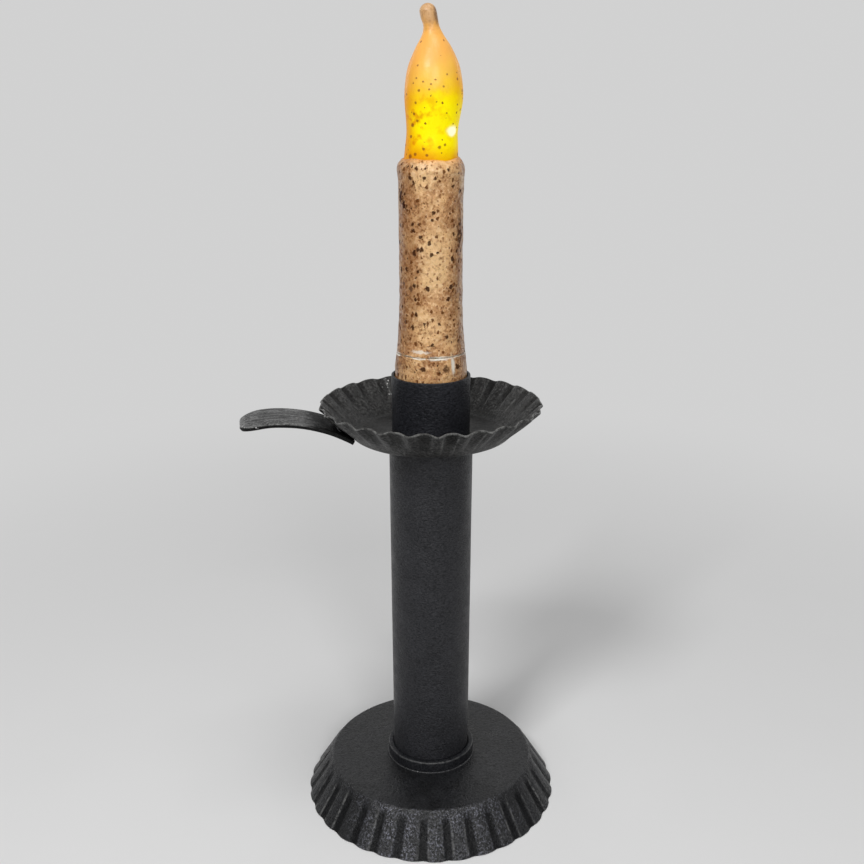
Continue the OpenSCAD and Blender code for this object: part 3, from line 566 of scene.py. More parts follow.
def flame(name):
    """Frosted amber bulb, lit from a lamp low on its right, with dark grains towards its foot."""
    s = Shader(name)
    height = s.math("SUBTRACT", s.axis("Z"), bulb_foot_z)
    right = s.vector("DOT_PRODUCT", s.at, on_taper(90, 0.0, 1.0), out="Value")
    wobble = s.fade(s.noise(0.004, 3.0), 0.3, 0.7, -0.0009, 0.0009)
    up = s.math("ADD", s.math("ADD", height, wobble), s.math("MULTIPLY", right, -0.16))
    away = s.vector("DISTANCE", s.at, on_taper(33, bulb_foot_z + 0.0095, 0.0064), out="Value")
    near = s.fade(s.math("ADD", away, wobble), 0.0128, 0.0045)
    hot_at = on_taper(53, bulb_foot_z + 0.0078, 0.0071)
    hot = s.spot(hot_at, (0.0034, 0.0034, 0.0024), at=s.ragged(0.0008, 0.0015))
    hot = s.math("POWER", hot, 3.5)
    glowing = s.fade(up, 0.0222, 0.0140)

    halo = s.fade(up, 0.0275, 0.0185)
    body = s.blend(halo, (0.53, 0.265, 0.065), (0.53, 0.34, 0.055))
    body = s.blend(glowing, body, (0.48, 0.24, 0.0))
    body = s.blend(s.fade(up, 0.0335, 0.0365), body, (0.44, 0.265, 0.13))
    colour = s.blend(s.math("MULTIPLY", near, glowing), body, (0.44, 0.36, 0.0))
    light = s.blend(halo, (0.345, 0.155, 0.012), (0.37, 0.21, 0.01))
    light = s.blend(glowing, light, (0.48, 0.29, 0.0))
    nub = s.fade(up, 0.031, 0.0355)
    light = s.blend(nub, light, (0.14, 0.075, 0.025))
    light = s.blend(s.math("MULTIPLY", near, glowing), light, (0.62, 0.54, 0.0))
    # Amber towards both edges as seen from the camera's side: painted shade of the bulb's outline
    rim = s.fade(s.math("ABSOLUTE", right), 0.0045, 0.0078, 0.0, 0.55)
    foot = s.fade(s.math("ADD", height, wobble), 0.0058, 0.0012, 0.0, 0.85)
    left = s.fade(right, -0.0026, -0.0075, 0.0, 0.85)
    clouds = s.math("MULTIPLY", s.fade(s.noise(0.0021, 2.0), 0.44, 0.7), glowing)
    clouds = s.math("MULTIPLY", clouds, s.fade(right, 0.003, -0.006, 0.3, 0.95))
    amber = s.math("MULTIPLY", s.most([rim, foot, left]), s.fade(near, 0.0, 1.0, 1.0, 0.4))
    amber = s.math("MAXIMUM", amber, clouds)
    colour = s.blend(amber, colour, (0.43, 0.17, 0.0))
    light = s.blend(amber, light, (0.32, 0.10, 0.0))
    light = s.blend(hot, light, (0.85, 0.84, 0.66))

    tanned = s.math("MULTIPLY", s.fade(s.noise(0.0009, 3.0, 0.6), 0.48, 0.6, 0.0, 0.5), nub)
    colour = s.blend(tanned, colour, (0.27, 0.13, 0.05))
    crowd = s.math("MULTIPLY", s.fade(height, 0.030, 0.001, 0.24, 1.0), s.math("SUBTRACT", 1.0, nub))
    towards = s.vector("DOT_PRODUCT", s.at, around(0, 1.0, 0.0), out="Value")
    crowd = s.math("MULTIPLY", crowd, s.fade(towards, -0.002, 0.003, 1.0, 0.4))
    grain = s.grains(0.0015, crowd, 0.31, at=s.ragged(0.0007, 0.0006))
    shaken = s.ragged(0.0004, 0.0005)
    spots = [s.spot(on_flame(a, h), (1.4 * r, 1.4 * r, 1.2 * r), at=shaken) for a, h, r in FLAME_SPECKS]
    grain = s.math("MAXIMUM", grain, s.math("MULTIPLY", s.most(spots), 0.85))
    dots = s.math("MULTIPLY", grain, s.fade(hot, 0.0, 0.6, 0.9, 0.0))
    shade = s.spot(on_flame(66, 0.0360), (0.0016, 0.0016, 0.0034), at=s.ragged(0.0009, 0.001))
    colour = s.blend(s.math("MULTIPLY", shade, 0.8), colour, (0.17, 0.08, 0.03))
    light = s.blend(s.math("MULTIPLY", shade, 0.8), light, (0.0, 0.0, 0.0))
    colour = s.blend(dots, colour, (0.15, 0.03, 0.008))
    light = s.blend(dots, light, (0.035, 0.006, 0.0))

    ribs = s.math("SINE", s.math("MULTIPLY", height, 2 * math.pi / 0.0009))
    ribs = s.math("MULTIPLY", ribs, s.math("MULTIPLY", s.fade(height, 0.020, 0.027), 0.04))
    skin = s.math("ADD", s.noise(0.0012, 2.0), s.math("ADD", ribs, s.math("MULTIPLY", grain, 0.5)))
    return s.finish(
        colour=colour,
        roughness=s.fade(s.math("MAXIMUM", grain, glowing), 0.0, 1.0, 0.385, 0.5),
        specular=s.fade(glowing, 0.0, 1.0, 0.4, 0.1),
        emission=light,
        glow=1.0,
        normal=s.bump(skin, 0.00008),
    )


def plastic(name, dark, light, rough):
    """Moulded plastic: a faint cloud of tone and a fine texture."""
    s = Shader(name)
    colour = s.blend(s.noise(0.006, 3.0), dark, light)
    roughness = s.fade(s.noise(0.0015, 3.0), 0.3, 0.7, rough - 0.06, rough + 0.06, smooth=False)
    return s.finish(colour=colour, roughness=roughness, normal=s.bump(s.noise(0.0003, 3.0), 0.00002))


def brushed(name, dark, light, rough):
    """Bare metal with fine lines along Z and cloudy stains."""
    s = Shader(name)
    lines = s.noise(0.0002, 3.0, at=s.stretch(1, 1, 0.06))
    colour = s.blend(s.fade(lines, 0.3, 0.7), dark, light)
    colour = s.blend(s.fade(s.noise(0.003, 3.0), 0.5, 0.8, 0.0, 0.4), colour, [0.5 * c for c in dark])
    roughness = s.fade(lines, 0.3, 0.7, rough - 0.08, rough + 0.1, smooth=False)
    return s.finish(colour=colour, metal=1.0, roughness=roughness, normal=s.bump(lines, 0.00001))


def circuit_board(name):
    """Green board with copper runs under its lacquer and tinned pads."""
    s = Shader(name)
    runs = s.add(
        "TexWave", {"Vector": s.at, "Scale": 260.0, "Distortion": 5.0, "Detail": 1.0, "Detail Scale": 0.5}
    ).outputs["Fac"]
    colour = s.blend(s.fade(runs, 0.6, 0.68), (0.012, 0.075, 0.028), (0.035, 0.17, 0.055))
    pads = s.grains(0.0022, 0.35, 0.22)
    colour = s.blend(pads, colour, (0.55, 0.55, 0.52))
    return s.finish(colour=colour, roughness=0.28, specular=0.55, normal=s.bump(runs, 0.00002))


def cell_label(name, cell_foot_z, cell_h):
    """Printed sleeve of a cell: a plain dark band over a silver one, with a thin line between."""
    s = Shader(name)
    share = s.math("DIVIDE", s.math("SUBTRACT", s.axis("Z"), cell_foot_z), cell_h)
    colour = s.blend(s.fade(share, 0.68, 0.685), (0.018, 0.06, 0.10), (0.45, 0.46, 0.47))
    ring = s.fade(s.math("ABSOLUTE", s.math("SUBTRACT", share, 0.66)), 0.008, 0.005)
    colour = s.blend(ring, colour, (0.55, 0.16, 0.03))
    scuffs = s.fade(s.noise(0.0011, 4.0, 0.7, at=s.stretch(1, 1, 0.25)), 0.66, 0.76)
    colour = s.blend(s.math("MULTIPLY", scuffs, 0.4), colour, (0.6, 0.6, 0.58))
    return s.finish(colour=colour, roughness=0.25, coat=0.4, normal=s.bump(s.noise(0.002), 0.00003))


def lens(name):
    """Clear warm lens of the lamp, glowing towards its tip."""
    s = Shader(name)
    foot_z, tip_z = (corner.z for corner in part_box("lamp"))
    heart = s.fade(s.axis("Z"), foot_z, mix(foot_z, tip_z, 0.7))
    colour = s.blend(heart, (0.75, 0.6, 0.3), (1.0, 0.85, 0.5))
    light = s.blend(heart, (0.5, 0.3, 0.05), (1.0, 0.82, 0.4))
    return s.finish(
        colour=colour, roughness=0.12, emission=light, glow=1.6, normal=s.bump(s.noise(0.002), 0.00002)
    )


BLACK = paint(
    "black_paint", (0.0094, 0.0096, 0.0119), (0.015, 0.0153, 0.0184), 0.42, 0.36, 0.0002,
    size=0.0007, glint_colour=(0.03, 0.031, 0.035), glint_amount=0.4, squash=2.2,
)
SOCKET = paint(
    "socket_paint", (0.0104, 0.0109, 0.0136), (0.0175, 0.0182, 0.022), 0.46, 0.2, 0.00018,
    size=0.0008, glint_colour=(0.026, 0.027, 0.033), glint_amount=0.45, squash=1.9,
)
COLLAR = paint(
    "collar_paint", (0.008, 0.0085, 0.0105), (0.014, 0.0145, 0.017), 0.42, 0.28, 0.00012,
    size=0.0006, glint_amount=0.2, wear_and_highlight=0.25,
)
SKIRT = paint(
    "base_paint", (0.006, 0.0062, 0.007), (0.0115, 0.0118, 0.0134), 0.32, 0.46, 0.0004,
    size=0.0006, glint_colour=(0.13, 0.133, 0.165), glint_amount=0.9, squash=0.7, wear_and_highlight=0.8, specks=0.05, flutes=0.7,
    # Spot on the skirt's lit front where the painted glints gather
    glint_spot=(around(0, 0.041, 0.008), (0.042, 0.03, 0.03)),
)
PAN = paint(
    "pan_paint", (0.013, 0.0128, 0.0124), (0.026, 0.0255, 0.0248), 0.44, 0.3, 0.0003,
    size=0.0008, glint_colour=(0.10, 0.099, 0.096), glint_amount=0.45, wear_and_highlight=0.6, specks=0.08, flutes=0.14,
    glinting_drips=[around(-153, 0.0325, pan_z + 0.0088), around(-152, 0.0300, pan_z + 0.0068)],
)
# Lighter than the other paints: the sheen of the strap's lit top painted into its tone
STRAP = paint(
    "strap_paint", (0.022, 0.022, 0.022), (0.042, 0.042, 0.042), 0.42, 0.4, 0.0003,
    glint_colour=(0.19, 0.19, 0.187), glint_amount=0.65, lines=(0.16, 1.0, 1.0), wear_and_highlight=0.7, shaded_underside=True,
    glinting_drips=[
        (strap_tip_x + 0.0035, 0.0004 - strap_half_w, pan_z + 0.0062),
        (strap_tip_x + 0.0014, 0.0024 - strap_half_w, pan_z + 0.0060),
    ],
)
SOLDER = solder_paint("solder_paint")
WAX = wax("wax")


class Dish:
    """A fluted tin dish, open upwards with its underside at height 0, like a tart tin."""

    def __init__(
        self, floor_r, rim_r, height, bend, flutes, depth, rim_depth, ridge_grow, groove_grow, crest, level
    ):
        self.floor_r = floor_r
        self.rim_r = rim_r
        self.height = height
        self.bend = bend
        self.flutes = flutes
        self.depth = depth
        self.rim_depth = rim_depth
        self.ridge_grow = ridge_grow
        self.groove_grow = groove_grow
        self.crest = crest
        self.level = level
        run, rise = rim_r - floor_r, height - bend
        self.lean = math.acos(bend / math.hypot(run, rise)) - math.atan2(rise, run)

    def side(self, out, rows, rim_cut):
        """Points (radius, height, share of the wall) from the floor's edge to just below the rim."""
        lean = self.lean
        foot_r = self.floor_r + self.bend * math.cos(lean)
        foot_z = self.bend - self.bend * math.sin(lean)
        reach = self.bend + out
        line = []
        for i in range(8):
            a = mix(-math.pi / 2, -lean, i / 8)
            line.append((self.floor_r + reach * math.cos(a), self.bend + reach * math.sin(a), 0.0))
        for i in range(rows + 1):
            share = i / rows * (1 - rim_cut)
            r = mix(foot_r, self.rim_r, share) + out * math.cos(lean)
            z = mix(foot_z, self.height, share) - out * math.sin(lean)
            line.append((r, z, share))
        return line

    def half(self, share, grow):
        """Half the depth of the flutes at a share of the wall, for flutes that grow over a share."""
        if share < grow:
            return self.depth / 2 * ease(share / grow)
        return mix(self.depth, self.rim_depth, (share - grow) / (1 - grow)) / 2

    def line(self, hole_r, floor_rings):
        """Closed outline of the sheet: underside, outer wall, rounded rim, inner wall and floor."""
        rim_cut = 0.03
        outer = self.side(0.0, 30, rim_cut)
        inner = self.side(-sheet_t, 30, rim_cut)
        (outer_r, outer_z, share), (inner_r, inner_z, _) = outer[-1], inner[-1]
        middle_r, middle_z = (outer_r + inner_r) / 2, (outer_z + inner_z) / 2
        rim_middle_r = self.rim_r - sheet_t / 2 * math.cos(self.lean)
        rim_middle_z = self.height + sheet_t / 2 * math.sin(self.lean)
        if self.level:
            inner_r, inner_z = outer_r - sheet_t / math.cos(self.lean), outer_z
            inner[-1] = (inner_r, inner_z, share)
            middle_r, middle_z = (outer_r + inner_r) / 2, outer_z
            rim_middle_r, rim_middle_z = middle_r, self.height
        rim = []
        for i in range(1, 6):
            a = math.pi * i / 6
            across, along = math.cos(a), math.sin(a)
            r = middle_r + across * (outer_r - middle_r) + along * (rim_middle_r - middle_r)
            z = middle_z + across * (outer_z - middle_z) + along * (rim_middle_z - middle_z)
            rim.append((r, z, share))
        floor = [mix(hole_r, self.floor_r, i / floor_rings) for i in range(floor_rings)]
        under = [(r, 0.0, 0.0) for r in floor]
        upper = [(r, sheet_t, 0.0) for r in floor]
        return under + outer + rim + inner[::-1] + upper[::-1], len(under + outer), len(rim)

    def skin(self, hole_r, floor_rings, samples, place):
        """Skin and marks of the dish, with its points put in place by a function."""
        line, rim_start, rim_count = self.line(hole_r, floor_rings)
        columns = self.flutes * samples
        angles = np.arange(columns) * 2 * math.pi / columns
        bent = angles + 0.006 * np.sin(5 * angles + 1) + 0.004 * np.sin(11 * angles)
        wave = np.cos(self.flutes * bent) + self.crest * np.cos(2 * self.flutes * bent)
        uneven = 0.9 + 0.06 * np.sin(3 * angles + 0.5) + 0.04 * np.sin(8 * angles + 2)
        push_r, push_z = (1, 0) if self.level else (math.cos(self.lean), -math.sin(self.lean))
        rings, side, ridge, edge = [], [], [], []
        for i, (r, z, share) in enumerate(line):
            outside = i < rim_start + rim_count / 2
            on_rim = rim_start <= i < rim_start + rim_count
            if r == 0:
                rings.append(np.array([[0.0, 0.0, z]]))
                for mark in (side, ridge, edge):
                    mark.append(np.zeros(1))
                continue
            ridges = self.half(share, self.ridge_grow)
            grooves = self.half(share, self.groove_grow)
            push = np.where(wave > 0, ridges, grooves) * wave * uneven
            radius = r + push * push_r
            height = z + push * push_z
            rings.append(np.stack([radius * np.cos(angles), radius * np.sin(angles), height], axis=1))
            side.append(np.full(columns, np.clip((r - self.floor_r) / self.bend, 0, 1)))
            facing = wave if outside else -wave
            groove = 1 - ease(np.clip((facing + 0.75) / 0.95, 0, 1))
            ridge.append(1 - groove * ease(min(1, share / self.groove_grow)))
            # Lines along the flute shoulders: painted highlight, carried in the same edge mark as the worn rim
            shoulder_highlight = np.exp(-(((facing - 0.05) / 0.13) ** 2)) * min(1, 3 * share)
            edge.append(np.ones(columns) if on_rim else 0.9 * shoulder_highlight)
        points, faces = loft(rings, closed=hole_r > 0)
        marks = {"side": side, "ridge": ridge, "edge": edge}
        return (place(points), faces), {mark: np.concatenate(parts) for mark, parts in marks.items()}


base_dish = Dish(
    floor_r=0.034, rim_r=0.0436, height=base_h, bend=0.00125, flutes=32,
    depth=0.00095, rim_depth=0.0006, ridge_grow=0.06, groove_grow=0.3, crest=-0.25, level=True,
)
pan_dish = Dish(
    floor_r=column_r + 0.009, rim_r=0.034, height=0.01, bend=0.004, flutes=26,
    depth=0.0011, rim_depth=0.0011, ridge_grow=0.9, groove_grow=0.9, crest=0.2, level=False,
)


def upside_down(points):
    """The base pan stands on its rim, turned a little about the column."""
    turn = math.radians(3.4)
    x, y, z = points.T
    dents = 0.00007 * lump(points, 0.011, 3.0)
    turned = np.stack(
        [
            x * math.cos(turn) + y * math.sin(turn),
            x * math.sin(turn) - y * math.cos(turn),
            base_h - z,
        ],
        axis=1,
    )
    away_from_rims = np.clip((base_h - z) / 0.002, 0, 1) * np.clip(np.hypot(x, y) / 0.02 - 0.8, 0, 1)
    return swell(turned, dents * away_from_rims)


def on_column(points):
    """The drip pan sits on the column."""
    lifted = points + np.array([0, 0, pan_z])
    away = np.clip(np.hypot(points[:, 0], points[:, 1]) / 0.02 - 1, 0, 1)
    return swell(lifted, 0.00012 * lump(points, 0.012, 8.0) * away)


def make_pans():
    skin, marks = base_dish.skin(0.0, 14, 14, upside_down)
    piece("base_tin", "stand", ["base_pan"], skin, SKIRT, marks)
    skin, marks = pan_dish.skin(socket_r + solder_fit, 10, 18, on_column)
    piece("drip_tin", "stand", ["drip_pan"], skin, PAN, marks)


def tube_line(r, bore_r, foot_z, top_z, rows, round_r):
    """Closed outline of a tube's wall, its edges rounded."""
    corners = [
        (r - round_r, foot_z + round_r, -90),
        (r - round_r, top_z - round_r, 0),
        (bore_r + round_r, top_z - round_r, 90),
        (bore_r + round_r, foot_z + round_r, 180),
    ]
    line = []
    for centre_r, centre_z, start in corners:
        for i in range(5):
            a = math.radians(start + 90 * i / 4)
            line.append((centre_r + round_r * math.cos(a), centre_z + round_r * math.sin(a)))
        if start == -90:
            line += [(r, mix(foot_z + round_r, top_z - round_r, i / rows)) for i in range(1, rows)]
    return line


def turned(name, body, node, slot_name, line, columns, material, wobble=0.0, size=0.02, rim=None):
    """A ring of metal turned about Z, a little out of true, with its rim marked for wear and a painted
    highlight line.
    """
    points, faces = loft(spin(line, columns), closed=True)
    points = swell(points, wobble * lump(points, size, 5.0))
    edge = np.zeros(len(points))
    if rim:
        away = np.hypot(np.hypot(points[:, 0], points[:, 1]) - rim[0], points[:, 2] - rim[1])
        edge = np.clip(1.5 - away / rim[2], 0, 1)
    return piece(name, body, [node], (points, faces), material, {"edge": edge})


def make_tubes():
    line = tube_line(column_r, column_r - column_wall, base_h, pan_z, 60, 0.00015)
    turned("column", "stand", "column_tube", "black_paint", line, 192, BLACK, 0.00004, 0.02)
    line = tube_line(socket_r, socket_r - socket_wall, socket_foot_z, socket_rim_z, 30, 0.00022)
    turned(
        "socket", "stand", "socket_tube", "black_paint", line, 192, SOCKET, 0.00005, 0.012
    )
    bore = column_r + solder_fit
    line = tube_line(collar_r, bore, base_h, collar_top_z, 6, collar_round)
    turned(
        "collar", "stand", "foot_collar", "black_paint", line, 192, COLLAR, 0.00006, 0.006,
        rim=(collar_r - 0.0002, collar_top_z - 0.0002, 0.00025),
    )


def bead(name, node, r, z, up, full_leg):
    """A rough ring of solder in the corner between a tube and a sheet."""
    columns, around = 640, 10
    angles = np.arange(columns) * 2 * math.pi / columns
    circle = np.stack([np.cos(angles), np.sin(angles), np.zeros(columns)], axis=1)
    knob = 0.5 + 0.5 * lump(circle * r, 0.0011, 2.0 + z) + 0.35 * lump(circle * r, 0.0004, 9.0)
    leg = full_leg * np.clip(0.45 + 0.6 * knob, 0.3, 1.0)
    rings = []
    for i in range(around):
        a = math.pi / 2 * i / (around - 1)
        rings.append((leg * math.cos(a) ** 0.8, leg * math.sin(a) ** 0.8))
    rings.append((np.zeros(columns), np.zeros(columns)))
    skin_rings = [
        np.stack(
            [(r + out) * np.cos(angles), (r + out) * np.sin(angles), z + (1 if up else -1) * rise],
            axis=1,
        )
        for out, rise in rings
    ]
    return piece(name, "stand", [node], loft(skin_rings, closed=True), SOLDER)


def pan_roof(r):
    """Lowest height of the drip pan's wall at a radius, as seen from below."""
    line = pan_dish.side(0.0, 30, 0.0)
    ridge = 1 + pan_dish.crest
    roof_r, roof_z = [0.0, pan_dish.floor_r], [-solder_fit, -solder_fit]
    for side_r, side_z, share in line[1:]:
        out = solder_fit + ridge * pan_dish.half(share, pan_dish.groove_grow)
        roof_r.append(side_r + out * math.cos(pan_dish.lean))
        roof_z.append(side_z - out * math.sin(pan_dish.lean))
    return pan_z + np.interp(r, roof_r, roof_z, right=1.0)


# Finger strap: two arcs that meet level at the crest
strap_t = 0.0014
strap_rise = 0.0066
strap_tip = 0.01
strap_droop = 0.0018
strap_corner = 0.006
strap_crest_x = -strap_tip_x - strap_tip
strap_crest_z = pan_z + 0.0011 + strap_rise
strap_run = strap_crest_x - (pan_dish.floor_r + 0.7 * pan_dish.bend)
strap_bend_r = (strap_run**2 + strap_rise**2) / (2 * strap_rise)
strap_tip_r = (strap_tip**2 + strap_droop**2) / (2 * strap_droop)


def make_strap():
    rise_angle = -2 * math.atan(strap_rise / strap_run)
    tip_angle = 2 * math.atan(strap_droop / strap_tip)
    stations = []
    for i in range(48):
        a = rise_angle * (1 - i / 48)
        stations.append((a, strap_bend_r))
    for i in range(49):
        a = tip_angle * math.sin(math.pi / 2 * i / 48)
        stations.append((a, strap_tip_r))
    corner_r = 0.00055
    rings = []
    edge = []
    for a, bend_r in stations:
        x = strap_crest_x + bend_r * math.sin(a)
        tip_away = max(-strap_tip_x - x, 0.00002)
        half_w = strap_half_w
        if tip_away < strap_corner:
            half_w -= strap_corner - math.sqrt(strap_corner**2 - (strap_corner - tip_away) ** 2)
        half_t = strap_t / 2
        if tip_away < half_t:
            half_t *= math.sqrt(1 - (1 - tip_away / half_t) ** 2)
        corner = min(corner_r, 0.9 * half_t)
        loop = []
        for sign_y, sign_t, start in ((1, 1, 0), (-1, 1, 90), (-1, -1, 180), (1, -1, 270)):
            for i in range(5):
                b = math.radians(start + 90 * i / 4)
                y = sign_y * (half_w - corner) + corner * math.cos(b)
                t = sign_t * (half_t - corner) + corner * math.sin(b)
                loop.append((y, t, 1.0))
            if start in (0, 180):
                inner_w = half_w - corner
                for i in range(1, 16):
                    loop.append((sign_y * mix(inner_w, -inner_w, i / 16), sign_t * half_t, 0.0))
        y, t, wear_and_highlight = np.array(loop).T
        along_x = strap_crest_x + (bend_r + t) * math.sin(a)
        z = strap_crest_z - bend_r + (bend_r + t) * math.cos(a)
        rings.append(np.stack([-along_x, y, z], axis=1))
        # The whole tip is marked: worn paint and a painted glint
        edge.append(wear_and_highlight * 0.5 if tip_away > 0.002 else np.full(len(wear_and_highlight), 0.6))
    points, faces = loft(rings)
    count = len(rings[0])
    faces.append(tuple(range(count)))
    faces.append(tuple(range(len(points) - count, len(points))))
    points[:, 0] = np.maximum(points[:, 0], strap_tip_x)
    points[:, 2] += 0.00005 * lump(points, 0.005, 4.0)
    points[:, 2] = np.minimum(points[:, 2], pan_roof(np.hypot(points[:, 0], points[:, 1])))
    marks = {"edge": np.concatenate(edge)}
    piece("strap", "stand", ["finger_strap"], (points, faces), STRAP, marks)


def make_weld():
    middle = (weld_low + weld_high) / 2
    half = (weld_high - weld_low) / 2
    columns, stations = 20, 60
    rings = []
    for i in range(stations + 1):
        share = -math.cos(math.pi * i / stations)
        y = middle.y + share * half.y
        plump = math.sqrt(max(1 - share**6, 0.0)) + 0.02
        a = np.arange(columns) * 2 * math.pi / columns
        along = half.x * 0.95 * plump * np.cos(a)
        across = 0.00062 * plump * np.sin(a)
        x = middle.x - along * math.cos(0.6) + across * math.sin(0.6)
        z = middle.z + along * math.sin(0.6) + across * math.cos(0.6)
        rings.append(np.stack([x, np.full(columns, y), z], axis=1))
    points, faces = loft(rings)
    faces.append(tuple(range(columns)))
    faces.append(tuple(range(len(points) - columns, len(points))))
    points[:, 2] += 0.00016 * lump(points, 0.0018, 6.0)
    points[:, 2] = np.minimum(points[:, 2], pan_roof(np.hypot(points[:, 0], points[:, 1])))
    piece("weld", "stand", ["strap_weld"], (points, faces), SOLDER)


def stain_bulge(points):
    """How far the crust stands up over the stains."""
    bulge = np.zeros(len(points))
    for degrees, z, across, along, blackness in STAINS:
        away = (points - np.array(on_taper(degrees, z))) / np.array([across, across, along])
        rise = np.clip(1.3 - np.linalg.norm(away, axis=1), 0, 1)
        bulge = np.maximum(bulge, (0.3 + 0.7 * blackness) * rise)
    return bulge


def rough_wax(points, faces, inner_r):
    """Wax dipped by hand: lumps outside, true inside."""
    outside = np.clip((np.hypot(points[:, 0], points[:, 1]) - inner_r) / 0.0003, 0, 1)
    lumps = 0.00018 * lump(points, 0.0045, 1.0) + 0.0001 * lump(points, 0.0016, 2.0)
    crust = 0.00018 * stain_bulge(points) * (0.7 + lump(points, 0.0009, 7.0))
    return swell(points, outside * (lumps + crust)), faces


def rough_rim(points, rim_z, depth, seed):
    """Points near a height moved up by a chipped edge; a depth below 0 moves them down."""
    near = np.clip(1 - np.abs(points[:, 2] - rim_z) / 0.0005, 0, 1)
    chips = np.clip(lump(points, 0.0013, seed) + 0.15, 0, 1) + 0.5 * np.clip(lump(points, 0.0004, seed), 0, 1)
    moved = points.copy()
    moved[:, 2] += near * depth * chips
    return moved


def make_wax():
    hole_r = flame_foot_r + film
    lip_r = wax_r(1)
    foot_z = seam_z + film
    rows = 150
    line = [(wax_in_r, foot_z), (wax_r(0) - 0.0002, foot_z), (wax_r(0) - 0.00005, foot_z + 0.0001)]
    for i in range(rows + 1):
        t = i / rows
        line.append((wax_r(t), mix(foot_z + 0.00025, lip_z, t)))
    for i in range(1, 21):
        a = math.radians(88 * i / 20)
        line.append((mix(hole_r, lip_r, math.cos(a) ** 1.2), lip_z + lip_h * math.sin(a) ** 1.2))
    line += [(hole_r, sleeve_top_z), (wax_in_r, sleeve_top_z)]
    points, faces = loft(spin(line, 240), closed=True)
    angle = np.arctan2(points[:, 1], points[:, 0])
    over_lip = np.clip((points[:, 2] - lip_z) / lip_h, 0, 1)
    front = np.cos(angle - math.radians(photo_azimuth - 10))
    creep = 0.0002 * np.sin(3 * angle + 2.2) + 0.00012 * np.sin(7 * angle) - 0.0003 * front
    points[:, 2] += over_lip**2 * np.clip(creep, -0.0006, 0.0003)
    points = rough_rim(points, foot_z, 0.0003, 12.0)
    skin = rough_wax(points, faces, sleeve_r + 0.0002)
    piece("wax_dip", "candle_sleeve", ["wax_coat"], skin, WAX)

    in_r = base_wax_r - base_wax_t
    rows = 90
    line = [(in_r, base_wax_foot_z), (base_wax_r - 0.0002, base_wax_foot_z)]
    bend_z = seam_z - base_wax_taper
    edge_r = in_r + base_wax_edge
    for i in range(rows + 1):
        z = mix(base_wax_foot_z + 0.0002, seam_z - 0.0001, (i / rows) ** 0.5)
        drop = np.clip((z - bend_z) / base_wax_taper, 0, 1)
        line.append((mix(base_wax_r, edge_r, ease(drop) * 0.5 + drop * drop * 0.5), z))
    line += [(edge_r - 0.0001, seam_z), (in_r, seam_z)]
    points, faces = loft(spin(line, 240), closed=True)
    points = rough_rim(points, seam_z, -0.0003, 17.0)
    points, faces = rough_wax(points, faces, in_r + 0.00012)
    radius = np.hypot(points[:, 0], points[:, 1])
    too_far = np.where(points[:, 2] < socket_rim_z, np.maximum(radius - base_wax_r, 0), 0)
    piece("wax_foot", "candle_base", ["base_wax"], (swell(points, -too_far), faces), WAX)


def flame_r(h):
    """Radius of the bulb at a height above its foot."""
    dome = bulb_tip_z - bulb_foot_z - nub_r
    if h > dome:
        return math.sqrt(max(nub_r**2 - (h - dome) ** 2, 0.0))
    return curve([(place, radius) for place, radius, _ in flame_knots], h)


def flame_shift(h):
    """Sideways shift of the bulb's middle at a height above its foot."""
    return curve([(place, shift) for place, _, shift in flame_knots], h)


def on_flame(degrees, h):
    """A place on the bulb's surface at a height above its foot."""
    bend = Vector((math.cos(nub_turn), math.sin(nub_turn), 0)) * flame_shift(h)
    return Vector(on_taper(degrees, bulb_foot_z + h, flame_r(h))) + bend


def make_flame():
    tip = bulb_tip_z - bulb_foot_z
    nub_h = 0.0324
    dome = tip - nub_r
    heights = [dome * i / 110 for i in range(110)]
    heights += [dome + nub_r * math.sin(math.pi / 2 * i / 14) for i in range(14)]
    inside = [(nub_h - 0.003) * i / 60 for i in range(60)]
    angles = np.arange(96) * 2 * math.pi / 96

    def ring(h, r):
        return np.stack([flame_shift(h) + r * np.cos(angles), r * np.sin(angles), np.full(96, h)], axis=1)

    rings = [ring(h, flame_r(h) - flame_wall) for h in reversed(inside)]
    rings.insert(0, np.array([[flame_shift(nub_h), 0, nub_h - 0.0015]]))
    rings += [ring(h, flame_r(h)) for h in heights]
    rings.append(np.array([[flame_shift(tip), 0, tip]]))
    points, faces = loft(rings)
    c, s = math.cos(nub_turn), math.sin(nub_turn)
    x, y, z = points.T
    points = np.stack([x * c - y * s, x * s + y * c, z + bulb_foot_z], axis=1)
    free = np.clip((z - 0.0015) / 0.004, 0, 1)
    points = swell(points, free * 0.00014 * lump(points, 0.008, 3.0))
    points[:, 2] = np.minimum(points[:, 2], bulb_tip_z)
    piece("flame_glass", "candle_sleeve", ["flame_bulb"], (points, faces), flame("flame"))


